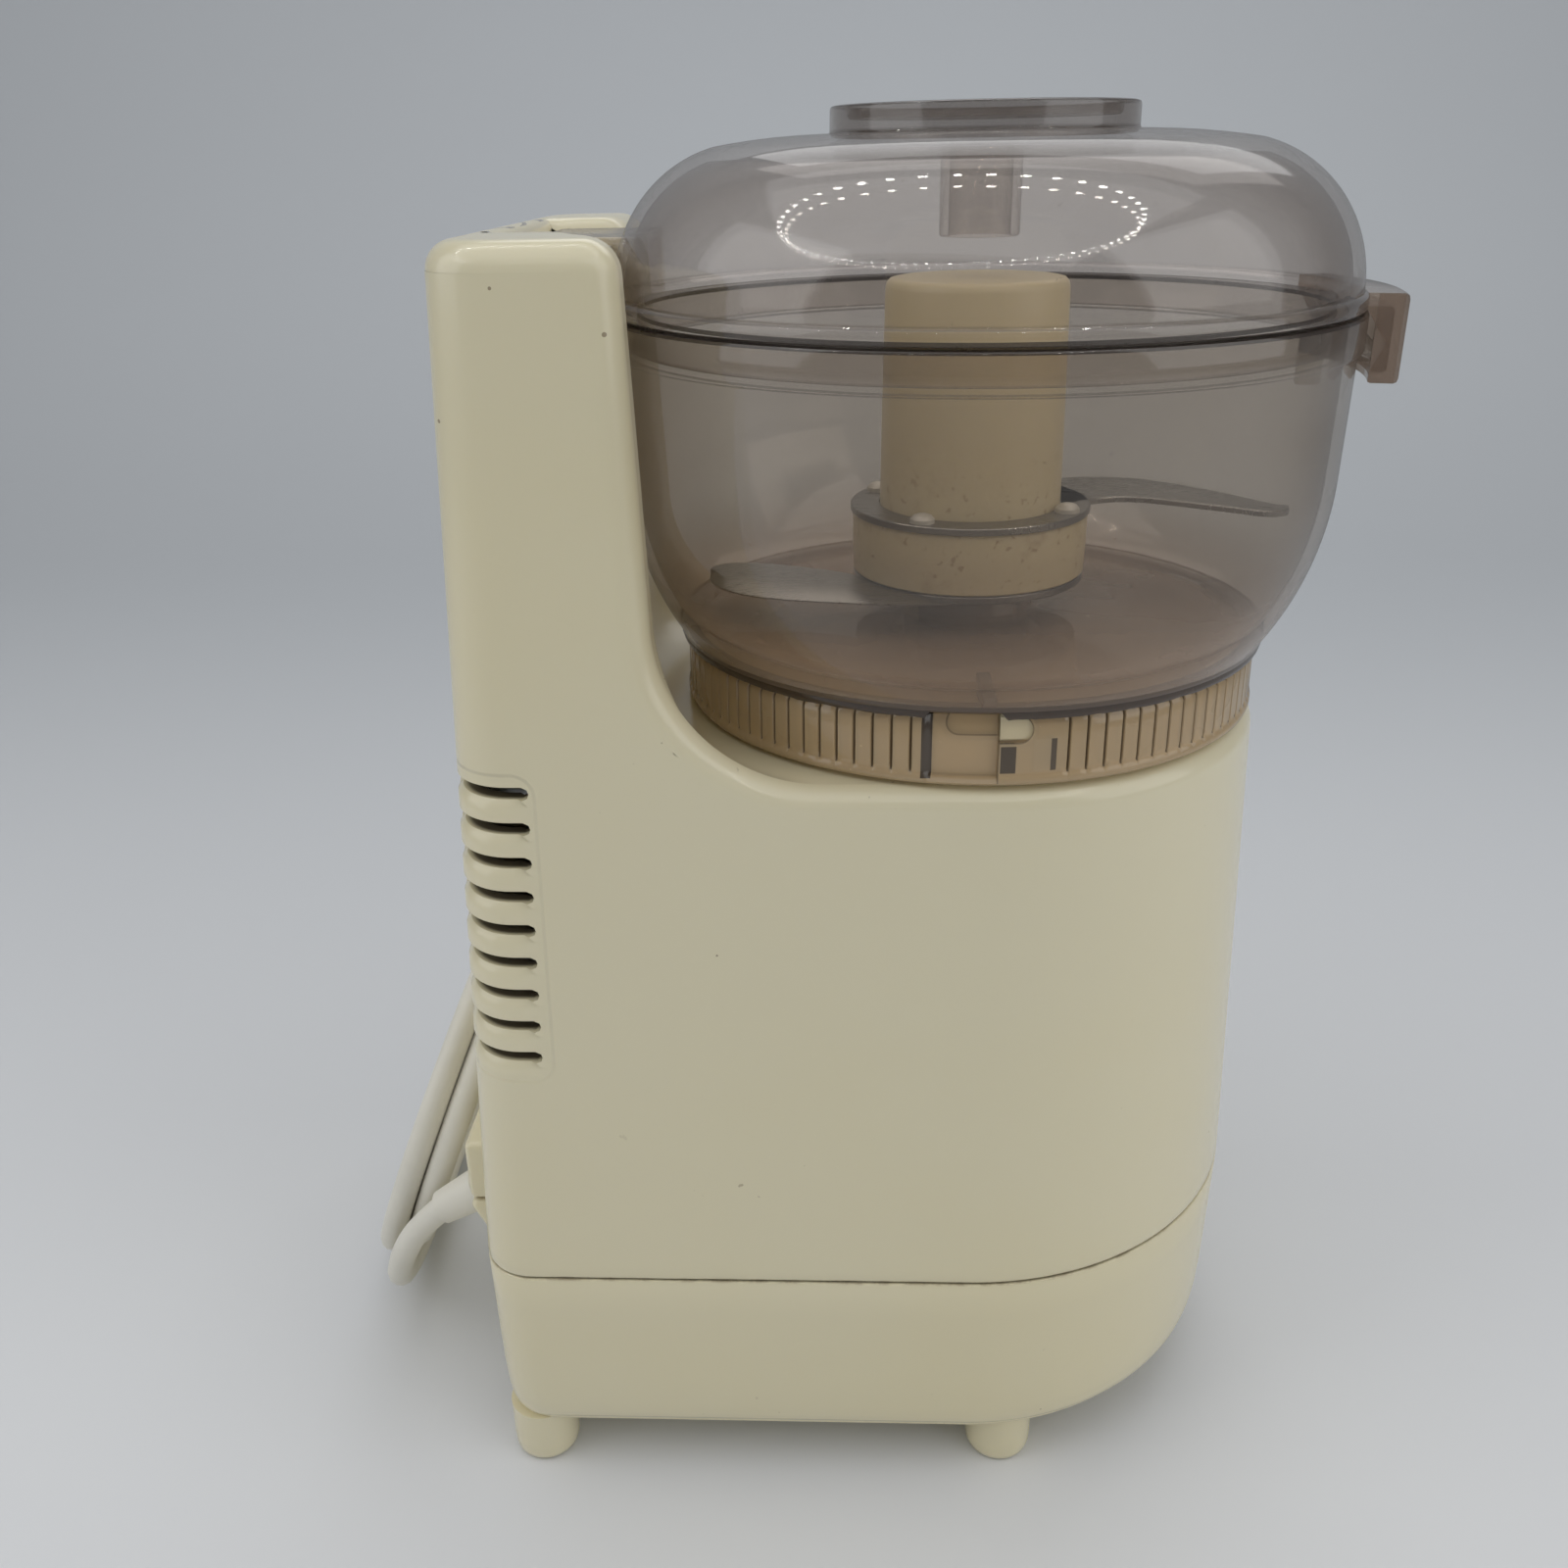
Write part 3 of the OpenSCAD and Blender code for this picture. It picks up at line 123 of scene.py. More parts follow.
class Finish:
    """One procedural material and the few calls that fill it."""

    def __init__(self, name):
        self.material = bpy.data.materials.new(name)
        self.material.use_nodes = True
        self.tree = self.material.node_tree
        self.tree.nodes.clear()
        self.out = self.tree.nodes.new("ShaderNodeOutputMaterial")
        self.place = self.raw("ShaderNodeTexCoord").outputs["Object"]

    def raw(self, kind, settings=None, inputs=None):
        made = self.tree.nodes.new(kind)
        for key, value in (settings or {}).items():
            setattr(made, key, value)
        for key, value in (inputs or {}).items():
            socket = made.inputs[key]
            if isinstance(value, Term):
                value = value.socket
            if isinstance(value, bpy.types.NodeSocket):
                self.tree.links.new(value, socket)
            else:
                socket.default_value = value
        return made

    def node(self, kind, settings=None, inputs=None, out=0):
        return Term(self, self.raw(kind, settings, inputs).outputs[out])

    def noise(self, scale, detail=3.0, rough=0.55, stretch=None, seed=0.0):
        place = self.place
        if stretch or seed:
            place = self.raw(
                "ShaderNodeMapping",
                None,
                {"Vector": place, "Scale": stretch or (1, 1, 1), "Location": (seed, seed * 0.7, seed * 1.3)},
            ).outputs[0]
        made = self.raw(
            "ShaderNodeTexNoise",
            None,
            {"Vector": place, "Scale": scale, "Detail": detail, "Roughness": rough},
        )
        return Term(self, made.outputs[0])

    def axes(self):
        made = self.raw("ShaderNodeSeparateXYZ", None, {0: self.place})
        return [Term(self, made.outputs[i]) for i in range(3)]

    def blend(self, factor, a, b):
        """Colour a where factor is 0 and colour b where it is 1."""
        made = self.raw("ShaderNodeMix", {"data_type": "RGBA"}, {0: factor})
        for index, value in ((6, a), (7, b)):
            socket = made.inputs[index]
            if isinstance(value, Term):
                self.tree.links.new(value.socket, socket)
            else:
                socket.default_value = (*value, 1.0)
        return Term(self, made.outputs[2])

    def mixed(self, factor, a, b):
        """Shader a where factor is 0 and shader b where it is 1."""
        return self.raw("ShaderNodeMixShader", None, {0: factor, 1: a, 2: b}).outputs[0]

    def see_through(self, colour):
        return self.raw("ShaderNodeBsdfTransparent", None, {0: rgba(colour)}).outputs[0]

    def bump(self, height, distance, strength=1.0):
        inputs = {"Height": height, "Distance": distance, "Strength": strength}
        return self.node("ShaderNodeBump", None, inputs)

    def shader(self, **sockets):
        """A Principled shader; a name's underscores stand for spaces."""
        made = self.raw(
            "ShaderNodeBsdfPrincipled", None, {k.replace("_", " "): v for k, v in sockets.items()}
        )
        return made.outputs[0]

    def finish(self, shader):
        self.tree.links.new(shader, self.out.inputs[0])
        return self.material


FINISHES = {}


def rgba(colour):
    return (*colour, 1.0)


def shaded(colour, amounts):
    return tuple(c * k for c, k in zip(colour, amounts))


def within(value, low, high):
    return (value > low) * (value < high)


def radius_of(a, b):
    """How far the point (a, b) lies from (0, 0)."""
    return (a ** 2.0 + b ** 2.0) ** 0.5


def rounded(a, b, radius):
    """Distance to a box's outline with rounded corners; a and b run from the corner's centre."""
    return radius_of(a.high(0.0), b.high(0.0)) + a.high(b).low(0.0) - radius


def printed_marks(u, v, w):
    """The marks on top of the column: two arcs, broken in the middle, and two bars."""
    side, on_top = abs(v + 3.0), w > 271.4
    far = radius_of(u + 128.0, v + 2.0)
    arcs = (abs(far - 33.0) < 0.75).high(abs(far - 36.5) < 0.45) * (side < 19.0) * on_top
    bars = (abs(u + 92.0) < 1.3) * (abs(side - 25.0) < 2.4) * on_top
    return (arcs * (1.0 - (side < 2.2))).high(bars)


def slot_painted_shade(side, back, w):
    """Painted shade inside a slot, darker by the slot's depth below the leaning, rounded outline of the
    housing.
    """
    lean = (w - PARTING).high(0.0) * LEAN
    skin = rounded(back - (REAR - CORNER) + lean, side - (HALF_WIDTH - CORNER) + lean, CORNER)
    return (skin * -1.0).step(1.1, 2.4) * (back > 80.0) * within(w, 112.0, 180.0)


def panel_edge(side, back, w):
    """Step at the ventilation panel's outline, a box with corners of 4.5 mm and a front edge that leans."""
    bend = 4.5
    from_front, from_rear = 87.7 - w * 0.0125 - back, 40.8 - side
    px, py = from_front.high(from_rear) + bend, abs(w - 144.2) - 33.8 + bend
    return rounded(px, py, bend).step(-0.45, 0.45)


def cream_finish(colour):
    """Moulded cream gloss plastic with faint yellowing, dirt in the seam, specks, printed marks on top and
    painted shade inside the slots.
    """
    f = Finish("cream_plastic")
    x, y, z = f.axes()
    u, v, w = x * (1 / MM) - AXIS_X, y * (1 / MM), z * (1 / MM)
    side, back = abs(v), u * -1.0
    patches = f.noise(9.0, 3.0)
    low = 1.0 - z.step(0.02, 0.16)
    aged = shaded(colour, (0.985, 0.955, 0.86))
    tone = f.blend(patches.step(0.35, 0.75) * 0.5 + low * 0.22, colour, aged)
    grime = f.noise(420.0, 2.0, seed=3.1)
    spots = grime.step(0.735, 0.765) * f.noise(38.0, 2.0, seed=5.0).step(0.52, 0.62) * 0.5
    seam = (1.0 - abs(w - 59.8).step(0.25, 0.95)) * f.noise(150.0, 4.0, 0.65, seed=6.0).step(0.42, 0.62)
    tone = f.blend(spots.high(seam * 0.6), tone, (0.27, 0.19, 0.10))
    marks = 0.0
    places = (-85.5, 264.4, 0.3), (-97.6, 242.3, 0.35), (-67.0, 256.8, 0.4), (-52.0, 140.0, 0.22)
    for mu, mw, size in places:
        marks = ((u - mu) ** 2.0 + (w - mw) ** 2.0 < size * size) * (y < 0.0) + marks
    tone = f.blend(marks * 0.7, tone, (0.20, 0.13, 0.07))
    tone = f.blend(printed_marks(u, v, w) * 0.75, tone, (0.16, 0.16, 0.16))
    # painted shade: the inner walls of the ventilation slots darken with depth
    tone = f.blend(slot_painted_shade(side, back, w) * 0.93, tone, (0.10, 0.08, 0.055))
    peel = f.noise(900.0, 1.0) * 0.35 + f.noise(130.0, 2.0, seed=1.0) * 0.65
    height = peel * 0.000035 + panel_edge(side, back, w) * 0.0003
    return f.finish(
        f.shader(
            Base_Color=tone,
            Roughness=0.2 + patches * 0.08 + seam * 0.3,
            IOR=1.49,
            Coat_Weight=0.3,
            Coat_Roughness=0.1,
            Subsurface_Weight=0.04,
            Subsurface_Radius=(0.004, 0.003, 0.0015),
            Normal=f.bump(height, 1.0, 1.0),
        )
    )


def smoke_finish(name, tint, body, cover, rims=(), details=None, shine=0.9, warm=None):
    """Smoked clear plastic: tinted and see-through, denser towards its edges, under a clean gloss.

    The gloss follows Schlick's rule, 0.04 + shine (1 - cos)^5, and fades where the plastic is dark. Rims
    are (low, high, depth): bands in mm of height where an edge seen from the side turns dark. Details gives
    further dark lines of one piece, painted shade among them, and its openings. Warm is (low, high, colour,
    share): between these heights and below them the plastic turns denser and takes that colour.
    """
    f = Finish(name)
    x, y, z = f.axes()
    u, v, w = x * (1 / MM) - AXIS_X, y * (1 / MM), z * (1 / MM)
    facing = f.node("ShaderNodeLayerWeight", None, {"Blend": 0.5}, out="Facing")
    haze = f.noise(26.0, 4.0, seed=4.0).step(0.35, 0.8)
    lines = f.noise(90.0, 4.0, stretch=(1.0, 14.0, 1.0), seed=7.0).step(0.70, 0.73)
    lines = lines.high(f.noise(60.0, 4.0, stretch=(7.0, 1.0, 5.0), seed=9.0).step(0.70, 0.73)) * 0.5
    specks = f.noise(650.0, 2.0, seed=2.0).step(0.74, 0.77) * 0.5
    dark, hole = facing ** 5.0, None
    for low, high, depth in rims:
        dark = dark.high(within(w, low, high) * depth)
    if details:
        # extra holds the piece's dark lines, painted shade among them
        extra, hole = details(f, u, v, w)
        dark = dark.high(extra)
    share = cover + dark * 0.8 + haze * 0.03 + lines * 0.04 + specks * 0.3
    if warm:
        near_foot = 1.0 - w.step(warm[0], warm[1])
        share = share + near_foot * warm[3]
        body = f.blend(near_foot, body, warm[2])
    share = share.low(0.97)
    solid = f.shader(
        Base_Color=f.blend(dark, body, (0.028, 0.017, 0.011)),
        Roughness=0.25 + haze * 0.15,
        Specular_IOR_Level=0.2,
    )
    inner = f.mixed(share, f.see_through(tint), solid)
    normal = f.bump(f.noise(55.0, 2.0, seed=6.0) + lines * 0.2, 0.00006, 0.7)
    white = (1.0, 1.0, 1.0)
    rough = 0.05 + haze * 0.05 + lines * 0.2
    gloss = f.shader(Base_Color=rgba(white), Metallic=1.0, Roughness=rough, Normal=normal)
    mirror_share = (0.04 + facing ** 5.0 * (1.0 - dark * 0.85) * shine).low(0.9)
    made = f.mixed(mirror_share, inner, gloss)
    if hole:
        made = f.mixed(hole, made, f.see_through(white))
    return f.finish(made)


def catch_arc(f, u, v):
    """Distance in mm along the skirt from the nearest of its three catches, and the angle round the axis."""
    around = f.node("ShaderNodeMath", {"operation": "ARCTAN2"}, {0: v, 1: u})
    turn = (around * (CATCHES / (2 * math.pi)) + 3.25).fract() - 0.5
    return turn * CATCH_PITCH, around


def skirt_shade_and_windows(f, u, v, w):
    """Painted shade in the skirt's rib grooves, on its catches' sides, round their round-ended windows and at
    its foot, and the windows' openings.

    A window is the distance to a line across it, less its half height; it stands lower in the raised block.
    """
    arc_mm, around = catch_arc(f, u, v)
    phase = (around * (RIBS / (2 * math.pi)) + float(RIBS)).fract()
    ribs = (1.0 - within(arc_mm, -13.1, 13.3)) * within(w, 177.6, 188.6)
    # painted shade in the grooves between the ribs
    dark = abs(phase - 0.5).step(0.40, 0.46) * ribs * 0.75
    raised = arc_mm > 1.5
    left = radius_of((-6.0 - arc_mm).high(0.0), w - 187.6) - 2.4
    right = radius_of((arc_mm - 5.2).high(0.0), w - 186.5) - 2.6
    window = left * (1.0 - raised) + right * raised + (w > 190.2) * 9.0
    # painted shade on the catches' sides and steps
    for low, high, foot, top, depth in (
        (-12.9, -11.0, 176.6, 188.9, 0.94),
        (1.9, 4.8, 177.9, 183.3, 0.92),
        (11.4, 12.5, 178.2, 184.6, 0.9),
        (8.4, 11.4, 178.2, 184.6, 0.25),
        (1.35, 1.65, 176.0, 188.9, 0.7),
        (8.1, 8.4, 178.2, 188.6, 0.35),
        (13.0, 13.25, 177.6, 188.6, 0.4),
        (-10.7, 1.4, 177.1, 177.4, 0.5),
    ):
        dark = dark.high(within(arc_mm, low, high) * within(w, foot, top) * depth)
    # painted shade round the windows and along the skirt's foot
    outline = (abs(window) < 0.16).high((abs(window - 0.8) < 0.12) * 0.6)
    return dark.high(outline * 0.7).high((w < 176.0) * 0.35), (window < -0.05) * (0.25 + raised * 0.45)


def ledge_shadow_edge(f, u, v, w):
    """The ragged lower edge of the ledge's painted shadow, which rises over the smooth panel of each catch.
    """
    arc_mm = catch_arc(f, u, v)[0]
    rise = (arc_mm.step(-12.6, -10.8) - arc_mm.step(1.2, 3.0)) * 1.7
    rag = f.noise(160.0, 3.0, seed=3.0) * 1.1
    return w * 0.0, w < 188.5 + rise + rag


def bowl_mark_and_shade(f, u, v, w):
    """The dark index mark under the bowl's floor, and painted shade on the edge where the bowl turns under.
    """
    mark = within(u, -1.95, 0.85) * within(v, -62.6, -47.9) * (w < 193.4) * 0.9
    # painted shade where the bowl turns under, beyond 60.5 mm from the axis
    return mark.high((radius_of(u, v) > 60.5) * (w < 191.7) * 0.85), None


def lid_details(f, u, v, w):
    """The ring's thick wall, brown where light has to cross it."""
    return within(radius_of(u, v), 24.5, 30.2) * (w > 287.4) * 0.5, None


def hub_finish(colour):
    """Ivory plastic that food has stained brown near its foot, with specks."""
    f = Finish("hub_plastic")
    z = f.axes()[2]
    foot = 1.0 - z.step(0.212, 0.236)
    blotch = f.noise(95.0, 5.0, 0.65, seed=2.0).step(0.52, 0.78)
    specks = f.noise(520.0, 3.0, seed=8.0).step(0.62, 0.68)
    runs = f.noise(70.0, 4.0, stretch=(1.0, 1.0, 0.12), seed=5.0).step(0.55, 0.75)
    mask = (blotch * foot * 0.55 + specks * foot * 0.5 + runs * 0.12).low(1.0)
    tone = f.blend(mask, colour, (0.36, 0.24, 0.11))
    return f.finish(
        f.shader(
            Base_Color=tone,
            Roughness=0.33 + blotch * 0.12,
            IOR=1.49,
            Subsurface_Weight=0.08,
            Subsurface_Radius=(0.004, 0.003, 0.001),
            Normal=f.bump(f.noise(240.0, 2.0) + runs * 0.2, 0.0001, 0.5),
        )
    )


def steel_finish(name, colour, rough, along=(1.0, 22.0, 1.0)):
    """Brushed steel: fine drawn lines in colour, roughness and bump, with dull spots."""
    f = Finish(name)
    lines = f.noise(160.0, 4.0, stretch=along)
    dull = f.noise(48.0, 4.0, seed=3.0).step(0.45, 0.75)
    dark = shaded(colour, (0.72, 0.72, 0.72))
    return f.finish(
        f.shader(
            Base_Color=f.blend(lines * 0.6 + dull * 0.25, colour, dark),
            Metallic=1.0,
            Roughness=rough + lines * 0.12 + dull * 0.12,
            Normal=f.bump(lines, 0.00004, 0.5),
        )
    )


def plain_finish(name, colour, rough, metal=0.0, grain=140.0, spread=0.18, depth=0.00006):
    """A moulded, cast or plated finish: its colour drifts a little and its grain shows in gloss and bump."""
    f = Finish(name)
    drift, fine = f.noise(grain * 0.2, 3.0), f.noise(grain, 3.0, seed=1.5)
    dark = tuple(c * (1 - spread) for c in colour)
    return f.finish(
        f.shader(
            Base_Color=f.blend(drift.step(0.3, 0.75) * 0.7 + fine * 0.3, colour, dark),
            Metallic=metal,
            Roughness=rough + fine * 0.12,
            Normal=f.bump(fine, depth, 0.5),
        )
    )


def floor_finish(near, far):
    """Matt floor and backdrop with painted shade: its grey deepens with distance behind the object, and turns
    darker and warmer towards the front.
    """
    f = Finish("pale_floor")
    y = f.axes()[1]
    # painted shade: the light's falloff with distance behind the object
    painted_falloff = y.step(-0.25, 0.72) + f.noise(2.0, 2.0) * 0.04 - 0.02
    # painted shade towards the front edge of the floor
    front = (1.0 - y.step(-0.75, 0.0)) * 0.3
    wall = shaded(far, (1.06, 1.06, 1.06))
    tone = f.blend(y.step(0.85, 1.2), f.blend(painted_falloff, near, far), wall)
    tone = f.blend(front, tone, shaded(near, (0.80, 0.77, 0.70)))
    return f.finish(f.shader(Base_Color=tone, Roughness=0.55 + f.noise(12.0, 2.0) * 0.1))


# ------------------------------------------------------------ mesh helpers


def piece(name, patches, finish, body, stands_for=(), weld=0.02, crease=38.0, close=False):
    """Makes one object of several grids of points in mm from the bowl axis.

    A patch is (points, wraps, keep): points[i, j] are the grid's corners, wraps says that the last
    column meets the first, and keep is a mask of the faces that stay, or None.
    """
    rows, faces, base = [], [], 0
    for points, wraps, keep in patches:
        n, m = points.shape[:2]
        index = np.arange(n * m).reshape(n, m)
        right = np.roll(index, -1, axis=1) if wraps else index[:, 1:]
        left = index if wraps else index[:, :-1]
        quads = np.stack([left[:-1], right[:-1], right[1:], left[1:]], axis=-1) + base
        faces.append(quads[keep] if keep is not None else quads.reshape(-1, 4))
        rows.append(points.reshape(-1, 3))
        base += n * m
    points = (np.concatenate(rows) + [AXIS_X, 0.0, 0.0]) * MM
    faces = np.concatenate(faces)
    mesh = bpy.data.meshes.new(name)
    mesh.from_pydata(points.tolist(), [], faces.tolist())
    work = bmesh.new()
    work.from_mesh(mesh)
    bmesh.ops.remove_doubles(work, verts=work.verts, dist=weld * MM)
    bmesh.ops.dissolve_degenerate(work, edges=work.edges, dist=1e-7)
    loose = [v for v in work.verts if not v.link_faces]
    bmesh.ops.delete(work, geom=loose, context="VERTS")
    if close:
        bmesh.ops.holes_fill(work, edges=[e for e in work.edges if e.is_boundary])
    bmesh.ops.recalc_face_normals(work, faces=work.faces)
    work.to_mesh(mesh)
    work.free()
    mesh.polygons.foreach_set("use_smooth", np.ones(len(mesh.polygons), dtype=bool))
    mesh.set_sharp_from_angle(angle=math.radians(crease))
    made = bpy.data.objects.new(name, mesh)
    bpy.context.scene.collection.objects.link(made)
    mesh.materials.append(FINISHES[finish])
    if stands_for:
        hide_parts(*stands_for)
    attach(made, body)
    return made


def sheet(points):
    """A patch that neither wraps nor leaves faces out."""
    return points, False, None


def turned(profile, segments=160, start=0.0, sweep=360.0):
    """A profile (r, z) turned about the bowl axis: (r cos a, r sin a, z). A full turn wraps."""
    profile = np.asarray(profile, float)
    whole = sweep >= 360.0
    angles = np.radians(start + np.linspace(0.0, sweep, segments + (0 if whole else 1), endpoint=not whole))
    r, z = profile[:, :1], profile[:, 1:]
    return grid_of(r * np.cos(angles), r * np.sin(angles), z), whole, None


def grid_of(*arrays):
    """Points of a patch from its x, y and z, each widened to the shape of all three."""
    return np.stack(np.broadcast_arrays(*arrays), axis=-1)


def moved(patch, shift):
    """The patch carried along by shift in mm."""
    return patch[0] + np.asarray(shift, float), patch[1], patch[2]


def arc(centre, radius, start, end, count=8):
    """Points of a circle's arc from one angle in degrees to another."""
    a = np.radians(np.linspace(start, end, count))
    return [(centre[0] + radius * math.cos(t), centre[1] + radius * math.sin(t)) for t in a]


def rounded_rect(half_u, half_v, radius, count=6):
    """Corner arcs of a rectangle, in order, as (u, v)."""
    out = []
    for k, (su, sv) in enumerate(((1, 1), (-1, 1), (-1, -1), (1, -1))):
        out += arc((su * (half_u - radius), sv * (half_v - radius)), radius, 90 * k, 90 * k + 90, count)
    return np.array(out)


def pillow(low, high, radius, along=2, edge=None, count=6):
    """A block with rounded edges: rounded rectangles carried along one axis, drawn in at both ends.

    The section's inset follows a quarter circle of the edge radius, and each end closes in its middle.
    """
    low, high = np.asarray(low, float), np.asarray(high, float)
    centre, half = (low + high) / 2, (high - low) / 2
    edge = radius if edge is None else edge
    u, v = [i for i in range(3) if i != along]
    steps = np.radians(np.linspace(0, 90, count))
    stations = [(-half[along] + edge * (1 - math.sin(t)), edge * (1 - math.cos(t))) for t in steps[::-1]]
    stations += [(half[along] - edge * (1 - math.sin(t)), edge * (1 - math.cos(t))) for t in steps]
    loops = []
    for where, inset in stations:
        flat = rounded_rect(half[u] - inset, half[v] - inset, max(radius - inset, radius * 0.15))
        loop = np.empty((len(flat), 3))
        loop[:, u], loop[:, v], loop[:, along] = flat[:, 0], flat[:, 1], where
        loops.append(loop)
    for end, where in ((0, 0), (-1, len(loops) + 1)):
        cap = loops[end].copy()
        cap[:, u], cap[:, v] = 0.0, 0.0
        loops.insert(where, cap)
    return np.array(loops) + centre, True, None


def smooth_high(a, b, soft):
    """The larger of a and b, rounded over where they cross."""
    h = np.clip(0.5 + 0.5 * (a - b) / soft, 0.0, 1.0)
    return b + (a - b) * h + soft * h * (1.0 - h)


def ramp(x, a, b):
    """0 below a, 1 above b and t^2 (3 - 2 t) between them."""
    t = np.clip((x - a) / (b - a), 0.0, 1.0)
    return t * t * (3.0 - 2.0 * t)


# ---------------------------------------------------------------- housing


def wall_half(z):
    """Half the housing's width at height z."""
    return HALF_WIDTH - (z - PARTING) * LEAN


def wall_rear(z):
    """How far the housing's rear stands behind the bowl axis at height z."""
    return REAR - (z - PARTING) * LEAN


def rim_line(far=False):
    """The sharp outline that the housing's top edges round off, nose to the middle of the rear, near side.

    It runs round the nose at platform height, back along the side, up the sweep, up the column's leaning
    front edge, round its corner, back along the top, round the rear corner and along the rear. Beside each
    point stand the outward horizontal direction, the direction that the top surface faces and the rounding.
    """
    points, out, up, size, kind, turn = [], [], [], [], [], []

    def add(p, h, t, r, k, a=0.0):
        points.append(p)
        out.append(h)
        up.append(t)
        size.append(r)
        kind.append(k)
        turn.append(a)

    near, above = (0.0, -1.0, 0.0), (0.0, 0.0, 1.0)
    sweep_x = SWEEP_X - FAR_BACK if far else SWEEP_X
    w = wall_half(PLATFORM)
    for a in np.radians(np.linspace(0, -90, 61)):
        c, s = math.cos(a), math.sin(a)
        add((w * c, w * s, PLATFORM), (c, s, 0.0), above, 4.0, 0, a)
    for x in np.linspace(0.0, sweep_x, 12)[1:]:
        add((x, -w, PLATFORM), near, above, 4.0, 1)
    for t in np.radians(np.linspace(0, 90, 37))[1:]:
        x, z = sweep_x - SWEEP_R * math.sin(t), SWEEP_Z - SWEEP_R * math.cos(t)
        add((x, -wall_half(z), z), near, (math.sin(t), 0, math.cos(t)), 4.0 + t / math.pi * 2, 2, t)
    corner_z = COLUMN_TOP - 6.0
    for z in (209, 213, 218, 223, 228, 233, 238, 243, 248, CHANNEL_FLOOR, 257, 260.5, 263.5, corner_z):
        x = sweep_x - SWEEP_R - (z - SWEEP_Z) * FRONT_LEAN
        add((x, -wall_half(z), z), near, (math.cos(0.035), 0, math.sin(0.035)), 5.0, 3)
    corner_x = sweep_x - SWEEP_R - (corner_z - SWEEP_Z) * FRONT_LEAN - 6.0
    for t in np.radians(np.linspace(2, 90, 10))[1:]:
        x, z = corner_x + 6.0 * math.cos(t), corner_z + 6.0 * math.sin(t)
        add((x, -wall_half(z), z), near, (math.cos(t), 0, math.sin(t)), 5.0, 4, t)
    w, r = wall_half(COLUMN_TOP), wall_rear(COLUMN_TOP)
    front = (-80.5, -82.0) if far else (-73.5, -76.5, -79.0, -81.2)
    for x in (*front, -SLOT_FRONT, -85.3, -(r - CORNER)):
        add((x, -w, COLUMN_TOP), near, above, 5.0, 5)
    for a in np.radians(np.linspace(-90, -180, 15))[1:]:
        c, s = math.cos(a), math.sin(a)
        add((-(r - CORNER) + CORNER * c, -(w - CORNER) + CORNER * s, COLUMN_TOP), (c, s, 0), above, 5.0, 6, a)
    for y in (SLOT_LAST, 42.2, 41.2, 37.0, 31.3, 30.0, 28.7, 27.7, CHANNEL, 22.0, 15.0, 7.0, 0.0):
        add((-r, -y * (w - CORNER) / TOP_HALF, COLUMN_TOP), (-1.0, 0, 0), above, 5.0, 7, y / TOP_HALF)
    return [np.array(a, float) for a in (points, out, up, size, kind, turn)]


def wall_plan(z, edge_x, kind, turn, upright):
    """Where the leaning wall stands at height z, for each point of the rim line.

    Behind upright the wall's points lean back with the rear.
    """
    half, rear = wall_half(z), wall_rear(z)
    centre = -(rear - CORNER)
    top_centre = -(wall_rear(COLUMN_TOP) - CORNER)
    shear = np.clip((upright - edge_x) / (upright - top_centre), 0.0, 1.0)
    x = np.where(kind == 0, half * np.cos(turn), edge_x + shear * (centre - top_centre))
    y = np.where(kind == 0, half * np.sin(turn), -half)
    x = np.where(kind == 6, centre + CORNER * np.cos(turn), x)
    y = np.where(kind == 6, -(half - CORNER) + CORNER * np.sin(turn), y)
    x = np.where(kind == 7, -rear, x)
    y = np.where(kind == 7, -turn * (half - CORNER), y)
    return x, y


def bowl_reach(z):
    """Radius that the column's front leaves round the bowl at height z: a fillet, then upright."""
    below = np.clip(PLATFORM + HOLLOW_FILLET - z, 0.0, HOLLOW_FILLET)
    return HOLLOW_R - HOLLOW_FILLET + np.sqrt(HOLLOW_FILLET ** 2 - below ** 2)


def mirror(patch):
    """The same patch on the other side, y becoming -y."""
    points = patch[0].copy()
    points[..., 1] *= -1.0
    keep = None if patch[2] is None else patch[2][:, ::-1]
    return points[:, ::-1], patch[1], keep


